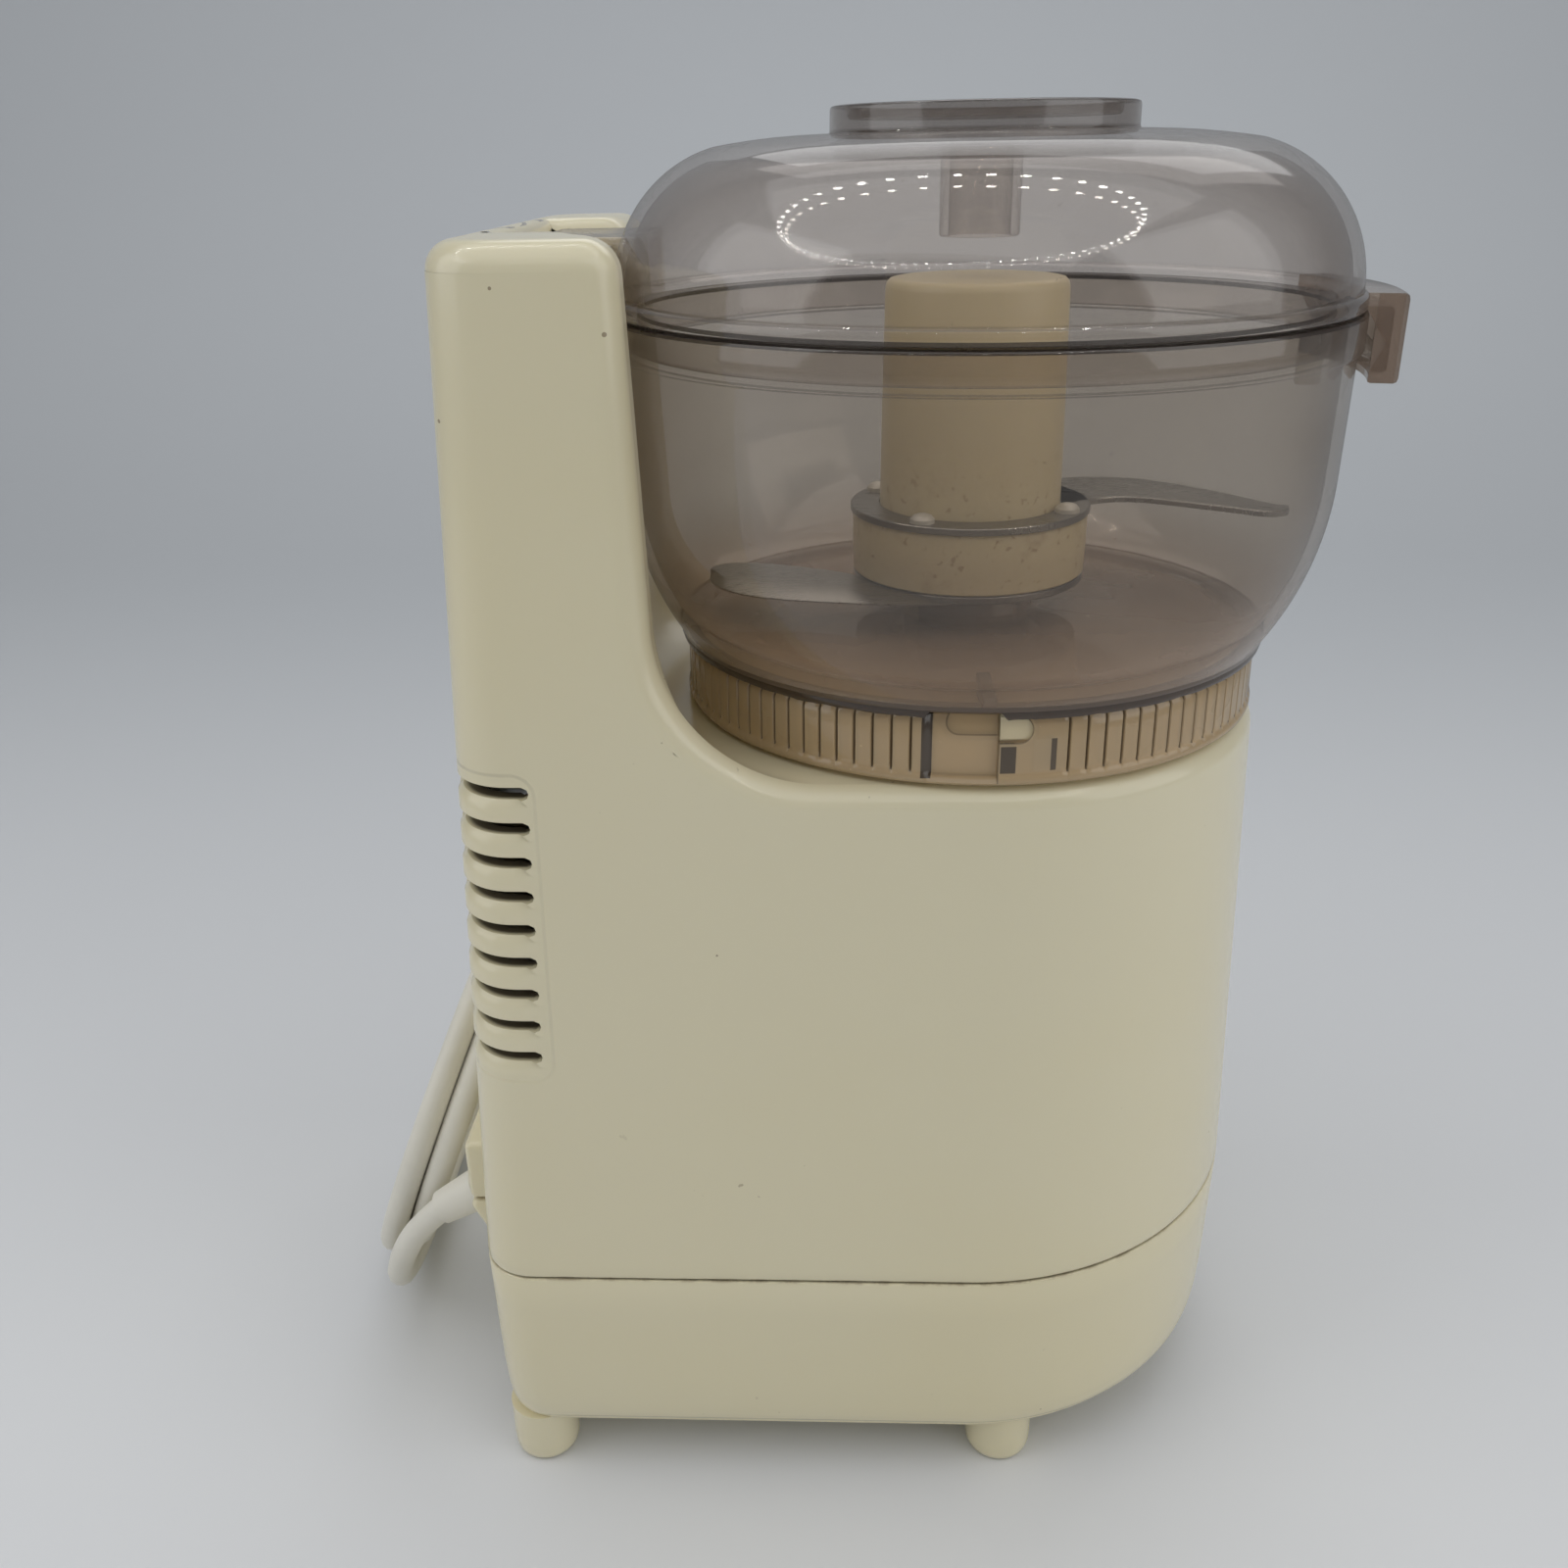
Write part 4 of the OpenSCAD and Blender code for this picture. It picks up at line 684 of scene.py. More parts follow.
def housing_patches(far=False):
    """The housing's skin: leaning wall with its ventilation slots, rounded rim, swept front and column top.

    Every grid is edge(t) carried along a second parameter: down the wall by the lean, round the rim by
    (1 - cos a) outwards and (1 - sin a) upwards, and across the front to the middle. Each slot is a gap in
    the wall's grid with a chamfer below it and walls that run inwards.
    """
    points, out, up, size, kind, turn = rim_line(far)
    edge = points - up * size[:, None]
    edge_x = edge[:, 0]
    upright = edge_x[kind == 4].min()
    split_z = 182.4
    slots = [SLOT_FIRST + k * SLOT_PITCH for k in range(SLOT_COUNT)]
    heights = [60.0, 60.15, 60.6, 63.0, 72.0, 84.0, 96.0, 106.0, 110.6, 111.4]
    for z in slots:
        heights += [z - SLOT_HALF - 1.3] + [z + t * SLOT_HALF for t in (-1.0, -0.6, 0.0, 0.6, 1.0)]
    heights += [178.4, split_z]
    heights = np.array(heights)
    count = len(heights)
    first_slot = int(np.argmin(np.abs(edge_x + SLOT_FRONT) + 100 * (kind != 5)))
    last_slot = int(np.argmax((kind == 7) & (np.abs(turn - SLOT_LAST / TOP_HALF) < 1e-6)))
    tall = edge[:, 2] >= split_z
    share = (heights - PARTING)[:, None] / (split_z - PARTING)
    low = PARTING + share * (edge[:, 2] - PARTING)[None]
    z = np.where(tall[None], heights[:, None], low)
    x, y = wall_plan(z, edge_x[None], kind[None], turn[None], upright)
    wall = np.stack([x, y, z], axis=-1)
    # the slots' chamfers and rounded ends, and the rounded foot
    along = np.arange(len(points))[None]
    in_slot = (along > first_slot) & (along < last_slot)
    inset = np.interp(z, [60.0, 60.15, 60.6], [0.5, 0.15, 0.0])
    for s in slots:
        inset = inset + in_slot * (np.abs(z - (s - SLOT_HALF)) < 0.05)
        for t in (-1.0, -0.6, 0.6, 1.0):
            row = int(np.argmin(np.abs(heights - (s + t * SLOT_HALF))))
            pull = SLOT_HALF * (1 - math.sqrt(1 - t * t))
            wall[row, first_slot, 0] -= pull
            wall[row, last_slot, 1] -= pull
    wall[..., :2] -= inset[..., None] * out[None, :, :2]
    keep = np.ones((count - 1, len(points) - 1), bool)
    patches = []
    for s in slots:
        a = int(np.argmin(np.abs(heights - (s - SLOT_HALF))))
        b = int(np.argmin(np.abs(heights - (s + SLOT_HALF))))
        keep[a:b, first_slot:last_slot] = False
        inward = -SLOT_DEPTH * out[first_slot:last_slot + 1]
        for row in (a, b):
            line = wall[row, first_slot:last_slot + 1]
            patches.append(sheet(np.stack([line, line + inward])))
        for col in (first_slot, last_slot):
            line = wall[a:b + 1, col]
            patches.append(sheet(np.stack([line, line - SLOT_DEPTH * out[col]])))
    patches.append((wall, False, keep))
    # from the split height up to the rounding, for the column only
    cols = np.flatnonzero(tall)
    share = np.linspace(0.0, 1.0, 12)[:, None]
    z = split_z + share * (edge[cols, 2] - split_z)[None]
    x, y = wall_plan(z, edge_x[None, cols], kind[None, cols], turn[None, cols], upright)
    patches.append(sheet(np.stack([x, y, z], axis=-1)))
    # rounded rim
    swing = np.radians(np.linspace(0, 90, 9))[:, None, None]
    settle = LEAN * (size * up[:, 2])[:, None] * out
    rim = points - size[:, None] * (out * (1 - np.cos(swing)) + up * (1 - np.sin(swing)))
    rim = rim + settle * (1 - np.sin(swing))
    patches.append(sheet(rim))
    inner = rim[-1]
    # swept front, recessed round the bowl
    rows = np.flatnonzero((kind == 2) | (kind == 3) | (kind == 4))
    rows = np.concatenate([[rows[0] - 1], rows])
    top_r = TOP_EDGE - TOP_HALF
    corner_y = TOP_HALF - top_r * np.sin(turn[kind == 6])
    outer = np.concatenate([[TOP_EDGE], corner_y, turn[kind == 7] * TOP_HALF])
    outer = outer[outer >= CHANNEL - 1e-6]
    lanes = (outer - CHANNEL) / (TOP_EDGE - CHANNEL)
    reach = -inner[rows, 1]
    y = -(CHANNEL + lanes[None] * (reach - CHANNEL)[:, None])
    px, pz = points[rows, 0][:, None], points[rows, 2][:, None]
    bend = np.where(kind[rows] == 4, 6.0 * (1 - np.cos(turn[rows])), 0.0)[:, None]

    def front(y):
        free = np.sqrt(np.maximum(bowl_reach(pz) ** 2 - y ** 2, 1.0))
        flat = -px - bend
        return -(np.where(free > flat - 8, smooth_high(flat, free, 2.6), flat) + bend)

    x = front(y)
    brink = [CHANNEL, 27.7, 28.7, 30.0, 31.3], [4.0, 2.4, 1.1, 0.25, 0.0]  # the channel's rounded edge
    drop = np.interp(-y, *brink) * ramp(pz, 252.0, 256.0)
    face = np.stack([x - drop * up[rows, 0][:, None] * 0.5, y, pz - drop * up[rows, 2][:, None]], axis=-1)
    patches.append(sheet(face))
    middle = np.array([-CHANNEL, -22.0, -15.0, -7.0, 0.0])
    x_mid = front(middle)
    centre = grid_of(x_mid, middle, pz)
    below = points[rows, 2] <= CHANNEL_FLOOR + 0.01
    patches.append(sheet(centre[below]))
    # flat of the platform, hidden under the skirt for the most part
    nose = wall_half(PLATFORM) - 4.0
    y_line = np.concatenate([y[0], middle[1:]])
    foot = np.concatenate([x[0], x_mid[0][1:]])
    nose_x = np.sqrt(np.maximum(nose ** 2 - y_line ** 2, 0.0))
    share = np.linspace(0.0, 1.0, 14)[:, None]
    patches.append(sheet(grid_of(nose_x + share * (foot - nose_x), y_line, PLATFORM)))
    # top of the column
    top = np.flatnonzero(kind == 5)
    start_x, end_x = inner[rows[-1], 0], inner[top[-1], 0]
    share = np.concatenate([[0.0], (inner[top, 0] - start_x) / (end_x - start_x)])[:, None]
    y_top = y[-1]
    bulge = np.sqrt(np.maximum(top_r ** 2 - np.maximum(-y_top - TOP_HALF, 0.0) ** 2, 0.0))
    rear_x = -(wall_rear(COLUMN_TOP) - CORNER) - np.where(-y_top > TOP_HALF, bulge, top_r)
    lane_x = face[-1, :, 0] + share * (rear_x - face[-1, :, 0])
    settle = np.interp(-y_top, *brink)
    fade = np.clip((lane_x - (CHANNEL_REAR - 2.0)) / 4.0, 0, 1)
    top_z = COLUMN_TOP - settle * np.where(lane_x < CHANNEL_REAR + 2.0, fade, 1.0)
    patches.append(sheet(grid_of(lane_x, y_top, top_z)))
    strip_x = np.array([CHANNEL_REAR, CHANNEL_REAR - 0.5, CHANNEL_REAR - 1.5, -93.7])[:, None]
    strip_z = np.array([-1.5, -0.45, 0.0, 0.0])[:, None] + COLUMN_TOP
    patches.append(sheet(grid_of(strip_x, middle, strip_z)))
    # channel for the lid's tab: side, floor and rear
    above = points[rows, 2] >= CHANNEL_FLOOR - 0.01
    side_front = face[above][:, -1]
    share = np.linspace(0.0, 1.0, 6)[None, :, None]
    rear_edge = side_front.copy()
    rear_edge[:, 0] = CHANNEL_REAR
    patches.append(sheet(side_front[:, None] + share * (rear_edge - side_front)[:, None]))
    floor_front = centre[below][-1]
    floor_rear = floor_front.copy()
    floor_rear[:, 0] = CHANNEL_REAR
    back = floor_rear + [0, 0, COLUMN_TOP - 1.5 - CHANNEL_FLOOR]
    patches.append(sheet(np.stack([floor_front, floor_rear, back])))
    return patches


def base_plan(kind, turn, edge_x, inset):
    """The base's upright outline, drawn in by inset."""
    half, rear = HALF_WIDTH - inset, REAR - inset
    corner = max(CORNER - inset, 2.0)
    centre = -(REAR - CORNER)
    stretch = np.clip(-edge_x / TOP_REAR, 0.0, 1.0) * centre
    x = np.where(kind == 0, half * np.cos(turn), stretch)
    y = np.where(kind == 0, half * np.sin(turn), -half)
    x = np.where(kind == 6, centre + corner * np.cos(turn), x)
    y = np.where(kind == 6, -(HALF_WIDTH - CORNER) + corner * np.sin(turn), y)
    x = np.where(kind == 7, -rear, x)
    y = np.where(kind == 7, -turn * (HALF_WIDTH - CORNER), y)
    return x, y


def base_patches():
    """The base: an upright wall that rolls under to a thin lip, its floor, and the lip inside the seam."""
    points, _, up, size, kind, turn = rim_line()
    edge_x = np.where(kind >= 1, (points - up * size[:, None])[:, 0], 0.0)
    profile = [(60.9, 3.0), (59.1, 2.9), (59.25, 1.2), (59.4, 0.5), (59.3, 0.16), (59.0, 0.0), (50.0, 0.15),
               (38.0, 0.35), (28.0, 0.6), (22.0, 0.9), (19.0, 1.25), (17.2, 1.7), (16.2, 2.2), (15.6, 2.9),
               (15.5, 3.3), (14.6, 3.35), (14.1, 3.6), (14.0, 4.2)]
    rows = []
    for z, inset in profile:
        x, y = base_plan(kind, turn, edge_x, inset)
        rows.append(grid_of(x, y, z))
    for share in (0.75, 0.5, 0.25, 0.0):
        last = rows[len(profile) - 1].copy()
        last[:, 1] *= share
        rows.append(last)
    return [sheet(np.array(rows))]


def rear_block(top):
    """The block round the cord's outlet: rounded towards the rear, square at the seam."""
    foot, head = (60.0, 76.0) if top else (38.0, 59.4)
    points, wraps, keep = pillow((-115.0, -42.4, foot), (-103.0, -24.4, head), 1.8, along=0, edge=1.5)
    if not top:
        slope = np.clip((52.0 - points[..., 2]) / 14.0, 0, 1)
        points[..., 0] = np.where(points[..., 0] < -108.0, points[..., 0] + slope * 10.0, points[..., 0])
    return points, wraps, keep


# ------------------------------------------------------------ bowl and lid


def bowl_arc(inset, low, high, count=22):
    """Points of the bowl's rounded wall: r = 13.2 + sqrt((60 - inset)^2 - (225 - z)^2)."""
    z = np.linspace(low, high, count)
    r = 13.2 + np.sqrt((60.0 - inset) ** 2 - (225.0 - z) ** 2)
    return list(zip(r, z))


def bowl_patches():
    """The bowl: its closed section turned about the axis, with a tongue, a rib and an index mark.

    The section runs from the chimney's foot under the floor, up the wall, over the rim and back down inside.
    """
    outer = [(11.9, 190.0), (57.0, 190.0), (60.2, 190.05), (62.3, 190.2), (62.9, 190.7), (63.0, 191.4)]
    outer += bowl_arc(0.0, 191.8, 224.0)
    outer += [(73.4, 236.0), (73.6, 247.6), (73.75, 248.0), (74.45, 248.2), (74.6, 248.6), (74.6, 254.6),
              (74.3, 255.1), (73.8, 255.2), (71.8, 255.2), (71.35, 254.9), (71.3, 254.0), (71.2, 240.0)]
    outer += bowl_arc(2.3, 224.0, 196.5, 20)
    outer += [(61.2, 194.6), (58.6, 193.2), (55.0, 192.6), (50.0, 192.4), (16.2, 192.4), (14.9, 192.7),
              (14.3, 193.6), (14.2, 229.6), (13.9, 230.2), (13.2, 230.4), (12.4, 230.3), (12.0, 229.8),
              (11.9, 190.0)]
    band = turned(outer, 192)
    tongue = turned([(73.4, 244.5), (77.2, 244.5), (77.7, 245.0), (77.7, 248.0), (77.2, 248.5), (75.0, 250.8),
                     (73.4, 251.2), (73.4, 244.5)], 16, -8.5, 22.5)
    rib = pillow((70.9, 15.5, 236.0), (76.2, 18.0, 248.5), 0.8)
    mark = pillow((-1.9, -62.4, 190.3), (0.8, -48.0, 193.3), 0.5, along=1)
    return [band, tongue, rib, mark]


def skirt_patches():
    """The bowl's ribbed skirt: flat ribs with a narrow groove every 3.46 degrees, broken by three catches.

    A catch is a smooth panel let into the ribs, and beside it a raised block; both are offsets of the radius.
    """
    steps = np.array([0.0, 0.06, 0.1, 0.35, 0.65, 0.9, 0.94])
    ribs = ((np.arange(RIBS)[:, None] + steps) * 360 / RIBS).ravel()
    marks = np.degrees(np.array([-13.0, -12.0, -11.0, -10.7, 1.3, 1.6, 13.0, 13.3]) / SKIRT_R)
    catches = (marks + np.array([[-90.0], [30.0], [150.0]])).ravel() % 360.0
    angle = np.unique(np.round(np.concatenate([ribs, catches]), 3))
    phase = (angle * RIBS / 360.0) % 1.0
    swell = ramp(np.minimum(phase, 1 - phase), 0.0, 0.1)
    arc_mm = np.radians((angle + 90.0 + 60.0) % 120.0 - 60.0) * SKIRT_R
    catch = ramp(arc_mm, -13.1, -12.9) * (1 - ramp(arc_mm, 13.0, 13.3))
    let_in = ramp(arc_mm, -13.0, -11.0) * (1 - ramp(arc_mm, 1.3, 1.6))
    heights = np.array([175.5, 175.7, 176.1, 176.9, 177.3, 178.0, 178.7, 183.0, 187.6, 188.4, 188.9])
    plain = np.interp(heights, [175.5, 175.7, 176.1, 176.9, 177.3, 178.0, 178.7, 188.9],
                      [61.3, 61.65, 61.8, 61.8, 61.4, 60.9, 60.7, 60.6])
    full = np.interp(heights, [177.0, 178.7, 187.6, 188.6], [0.0, 1.0, 1.0, 0.2])
    low = np.interp(heights, [176.6, 177.2], [0.0, 1.0])
    radius = plain[:, None] + 0.75 * full[:, None] * np.where(catch > 0.5, 1.0, swell)[None]
    radius = radius - 1.25 * (let_in * catch)[None] * low[:, None]
    a = np.radians(angle)
    outer = grid_of(radius * np.cos(a), radius * np.sin(a), heights[:, None])
    inner_r = np.where(let_in > 0.5, 59.0, 59.5)
    levels = np.array([175.5, 190.2])[:, None]
    inner = grid_of(inner_r * np.cos(a), inner_r * np.sin(a), levels)
    rim = np.stack([inner[0], outer[0]])
    return [(outer, True, None), (inner, True, None), (rim, True, None)]


def skirt_band():
    """The thick ledge where the skirt meets the bowl, dark partly as thick smoked plastic and partly with
    painted shadow from the bowl's overhang: a closed section turned about the axis.
    """
    return [turned([(59.4, 188.4), (61.9, 188.5), (62.5, 189.0), (62.8, 190.0), (62.7, 191.2), (61.9, 191.6),
                    (59.4, 191.3), (59.4, 188.4)], 192)]


def lid_patches():
    """The lid: a closed section turned about the axis, its hollow peg and the ring under its crown.

    The dome is an arc of radius 27.6 mm up to 76 degrees, then z = 285.28 + 0.0036 (22.6^2 - (r - 29.7)^2).
    """
    dome, shoulder = (45.6, 258.5), 76.0
    outside = [(73.7, 255.5), (74.1, 255.8), (74.2, 256.6), (74.2, 258.0), (73.9, 258.3), (73.3, 258.7)]
    outside += arc(dome, 27.6, 2, shoulder, 26)
    crown = (49.0, 45.0, 41.0, 37.0, 33.0, 30.6, 30.0)
    outside += [(r, 285.28 + 0.0036 * (22.6 ** 2 - (r - 29.7) ** 2)) for r in crown]
    outside += [(29.9, 287.3), (29.75, 287.6), (29.7, 291.3), (29.5, 291.8), (28.9, 292.0), (27.4, 292.0),
                (26.8, 291.8), (26.5, 291.2), (26.3, 290.0), (25.9, 289.65), (25.0, 289.6), (0.0, 289.6)]
    inside = [(0.0, 287.2), (24.4, 287.2), (27.0, 286.4), (30.0, 285.2), (36.0, 284.9), (42.0, 284.2),
              (48.0, 282.9)]
    inside += arc(dome, 25.4, 72, 4, 24)
    inside += [(70.9, 258.6), (68.8, 257.6), (68.7, 249.3), (69.1, 248.9), (70.6, 249.0), (70.9, 249.5),
               (70.95, 255.2), (73.7, 255.5)]
    shell = turned(outside + inside, 192)
    peg = turned([(6.2, 287.2), (6.2, 268.6), (6.5, 268.2), (7.6, 268.2), (8.0, 268.6), (8.0, 286.2),
                  (8.6, 287.2)], 48)
    ring = turned([(24.0, 287.6), (24.4, 285.6), (25.0, 285.4), (25.6, 285.6), (26.0, 287.6)], 160)
    return [shell, peg, ring]


def tab_patches():
    """The lid's hollow tab: an outline of its plan carried up to a rounded top, with walls 2 mm thick."""
    def loop(inset, z):
        half, rear = 19.5 - inset, -88.0 + inset
        radius = max(2.0 - inset, 0.4)
        flare = np.array([(-66.0, -half - 3.0 + inset), (-69.0, -half - 0.8), (-72.0, -half)])
        corner_a = arc((rear + radius, -half + radius), radius, 270, 180, 5)
        corner_b = arc((rear + radius, half - radius), radius, 180, 90, 5)
        line = list(map(tuple, flare)) + corner_a + corner_b + [(x, -y) for x, y in flare[::-1]]
        return [(x, y, z) for x, y in line]

    stages = (0.0, 256.5), (0.0, 262.0), (0.0, 268.4), (0.35, 269.4), (1.1, 269.9), (2.2, 270.0)
    rows = [np.array(loop(inset, z)) for inset, z in stages]
    for share in (0.6, 0.3, 0.0):
        row = rows[len(stages) - 1].copy()
        row[:, 1] *= share
        rows.append(row)
    outer = sheet(np.array(rows))
    inside = sheet(np.array([loop(2.0, 256.5), loop(2.0, 267.9)]))
    rim = sheet(np.array([loop(0.0, 256.5), loop(2.0, 256.5)]))
    return [outer, inside, rim]


def hook_patches():
    """The front hook: a bent section carried round the rim, with a rib closing one side."""
    section = [(73.8, 255.9), (73.8, 258.3), (80.4, 258.3), (81.1, 257.9), (81.3, 257.2), (81.3, 243.0),
               (81.1, 242.3), (80.5, 242.0), (76.4, 242.0), (75.9, 242.3), (75.9, 243.6), (76.4, 243.9),
               (78.4, 244.0), (79.0, 244.5), (79.0, 255.3), (78.5, 255.9), (73.8, 255.9)]
    body = turned(section, 24, -17.0, 34.0)
    rib = turned([(76.0, 242.1), (80.6, 242.1), (80.6, 258.0), (76.0, 258.0), (76.0, 242.1)], 2, -16.9, 1.7)
    patches = [body, rib]
    for part in (body, rib):
        for col in (0, -1):
            ring = part[0][:, col]
            centre = np.broadcast_to(ring[:-1].mean(0), ring.shape)
            patches.append(sheet(np.stack([ring, centre])))
    return patches


# ------------------------------------------------------------------- blade


def hub_patches():
    """The hub: its outline and its cavity turned about the axis."""
    profile = [(14.8, 200.8), (24.2, 200.8), (24.8, 201.3), (24.95, 206.0), (25.0, 212.9), (24.7, 213.5),
               (24.0, 213.6), (20.2, 213.6), (19.4, 213.9), (19.2, 214.8), (18.95, 236.0), (18.55, 258.6),
               (18.3, 259.7), (17.6, 260.4), (16.6, 260.6), (0.0, 260.6)]
    cavity = [(14.8, 200.8), (14.8, 235.6), (0.0, 235.6)]
    return [turned(profile, 128), turned(cavity, 64)]


def blade_patches(back, front, z, thick, bevel_up):
    """A flat blade: points a(t) + k (b(t) - a(t)) between its back line a and its front line b.

    The thickness falls off in a ground bevel towards the back line, and k runs round the section.
    """
    count = 60

    def even(line):
        line = np.asarray(line, float)
        t = np.concatenate([[0], np.cumsum(np.hypot(*np.diff(line, axis=0).T))])
        t /= t[-1]
        u = np.linspace(0, 1, count)
        fine = np.stack([np.interp(u, t, line[:, k]) for k in (0, 1)], -1)
        for _ in range(6):
            fine[1:-1] = 0.25 * fine[:-2] + 0.5 * fine[1:-1] + 0.25 * fine[2:]
        return fine

    a, b = even(back), even(front)
    over = b - a
    width = np.maximum(np.hypot(*over.T), 1e-6)[:, None]
    ground = np.minimum(4.2 / width, 0.45)
    middle = 0.5 + ground * 0.3
    stations = [(0.0, 0.25 * thick), (ground, thick), (middle, thick), (1.0 - 0.3 / width.clip(1), thick),
                (1.0, 0.8 * thick), (1.0, 0.15 * thick), (middle, 0.0), (ground, 0.0), (0.0, 0.05 * thick)]
    loops = []
    for share, height in stations:
        xy = a + over * share
        level = np.full((count, 1), z + (height if bevel_up else thick - height))
        loops.append(np.concatenate([xy, level], axis=1))
    loops.append(loops[0])
    return [sheet(np.array(loops))]


def plate_ring(inner, outer, z, thick):
    """The blade's flat ring round the hub: a section with small chamfers, turned."""
    top, edge = z + thick, 0.2
    return turned([(inner, z), (outer - edge, z), (outer, z + edge), (outer, top - edge), (outer - edge, top),
                   (inner, top), (inner, z)], 128)


# -------------------------------------------------------------------- cord


def through(points, count):
    """A Catmull-Rom curve through the points, sampled evenly along its length."""
    p = np.asarray(points, float)
    padded = np.vstack([2 * p[0] - p[1], p, 2 * p[-1] - p[-2]])
    t = np.linspace(0, 1, 24, endpoint=False)[:, None]
    fine = []
    for k in range(len(p) - 1):
        a, b, c, d = padded[k:k + 4]
        square, cube = 2 * a - 5 * b + 4 * c - d, 3 * b - a - 3 * c + d
        fine.append(0.5 * (2 * b + (c - a) * t + square * t ** 2 + cube * t ** 3))
    fine = np.vstack(fine + [p[-1:]])
    s = np.concatenate([[0], np.cumsum(np.linalg.norm(np.diff(fine, axis=0), axis=1))])
    even = np.linspace(0, s[-1], count)
    return np.stack([np.interp(even, s, fine[:, k]) for k in range(3)], -1)


def cord_line():
    """The cord's centre line in mm from the bowl axis.

    It runs out of the relief, down to the ring, round its four turns and on to the plug. A turn is
    centre + r (sin a y - cos a rise) + s aside, and its last part moves on to the next turn's r and s.
    """
    route = [(-124.8, -33.4, 50.1), (-129.8, -33.3, 46.0), (-133.7, -32.6, 41.0), (-137.3, -31.0, 33.8),
             (-140.4, -27.8, 26.0), (-143.0, -22.4, 17.8), (-145.2, -14.2, 10.6), (-146.4, -4.0, 5.9),
             (-146.9, 7.0, 4.1), (-147.0, 16.0, 3.85), (-147.0, 24.0, 3.82)]
    tail = [(-153.15, 24.0, 6.22), (-153.3, 32.0, 5.0), (-153.2, 40.0, 3.7), (-151.4, 48.0, 3.4),
            (-147.4, 55.4, 3.4), (-141.0, 61.4, 3.4), (-132.5, 66.0, 3.4), (-123.0, 70.0, 3.4),
            (-113.5, 74.0, 3.4), (-103.5, 78.0, 3.6), (-94.0, 81.2, 4.4), (-84.0, 82.6, 5.8),
            (-74.0, 82.8, 7.1)]
    lean = math.radians(21.25)
    rise = np.array([math.sin(lean), 0.0, math.cos(lean)])
    aside = np.array([math.cos(lean), 0.0, -math.sin(lean)])
    centre = np.array([-132.2, 24.0, 50.97])
    lanes = [(49.3, 3.3), (42.7, 3.3), (42.7, -3.3), (49.3, -3.3)]
    share = np.arange(40)[:, None] / 40
    a, move = 2 * math.pi * share, ramp(share, 0.72, 1.0)
    turns = []
    for (radius, side), (next_radius, next_side) in zip(lanes, lanes[1:] + lanes[-1:]):
        r = radius + (next_radius - radius) * move
        s = side + (next_side - side) * move
        turns.append(centre + r * (np.sin(a) * np.array([0, 1.0, 0]) - np.cos(a) * rise) + s * aside)
    out = through(route, 60)
    for _ in range(40):
        out[1:-1] = 0.25 * out[:-2] + 0.5 * out[1:-1] + 0.25 * out[2:]
    return np.vstack([out[:-1], *turns, through(tail, 46)])


def tube(line, radius, sides=12):
    """A round tube along a line: a ring square to the line at each point, turned as little as possible."""
    line = np.asarray(line, float)
    ahead = np.gradient(line, axis=0)
    ahead /= np.linalg.norm(ahead, axis=1)[:, None]
    up = np.array([0.13, 0.31, 0.94])
    rings = []
    a = np.linspace(0, 2 * np.pi, sides, endpoint=False)
    for p, d in zip(line, ahead):
        up = up - d * (up @ d)
        up /= np.linalg.norm(up)
        side = np.cross(d, up)
        rings.append(p + radius * (np.cos(a)[:, None] * up + np.sin(a)[:, None] * side))
    rings.insert(0, np.repeat(line[:1], sides, 0))
    rings.append(np.repeat(line[-1:], sides, 0))
    return np.array(rings), True, None


# --------------------------------------------------------------- settings


class HousingSettings(bpy.types.PropertyGroup):
    colour: bpy.props.FloatVectorProperty(
        name="Colour", description="Cream of the moulded housing", subtype="COLOR",
        default=(0.80, 0.736, 0.521),
    )


class ClearSettings(bpy.types.PropertyGroup):
    tint: bpy.props.FloatVectorProperty(
        name="Tint", description="Light that one surface lets through", subtype="COLOR",
        default=(0.875, 0.84, 0.795),
    )
    lid_tint: bpy.props.FloatVectorProperty(
        name="Lid tint", description="Light that one surface of the lid lets through", subtype="COLOR",
        default=(0.93, 0.905, 0.885),
    )
    body: bpy.props.FloatVectorProperty(
        name="Body", description="Colour of the smoked plastic itself", subtype="COLOR",
        default=(0.22, 0.18, 0.155),
    )
    cover: bpy.props.FloatProperty(
        name="Cover", description="Share of light that the plastic stops", default=0.03, min=0.0, max=1.0
    )


class BladeSettings(bpy.types.PropertyGroup):
    hub: bpy.props.FloatVectorProperty(
        name="Hub", description="Ivory of the hub", subtype="COLOR", default=(0.80, 0.70, 0.46)
    )
    steel: bpy.props.FloatVectorProperty(
        name="Steel", description="Colour of the blades", subtype="COLOR", default=(0.33, 0.32, 0.30)
    )


class CordSettings(bpy.types.PropertyGroup):
    diameter: bpy.props.FloatProperty(
        name="Diameter", description="Thickness of the mains cord", default=0.0064, unit="LENGTH"
    )
    colour: bpy.props.FloatVectorProperty(
        name="Colour", description="White of the cord", subtype="COLOR", default=(0.83, 0.80, 0.70)
    )


class StageSettings(bpy.types.PropertyGroup):
    light: bpy.props.FloatProperty(name="Light", description="Strength of the lamps", default=1.0, min=0.0)
    lens: bpy.props.FloatProperty(name="Lens", description="Focal length", default=32.4, unit="CAMERA")


# -------------------------------------------------------------- operators


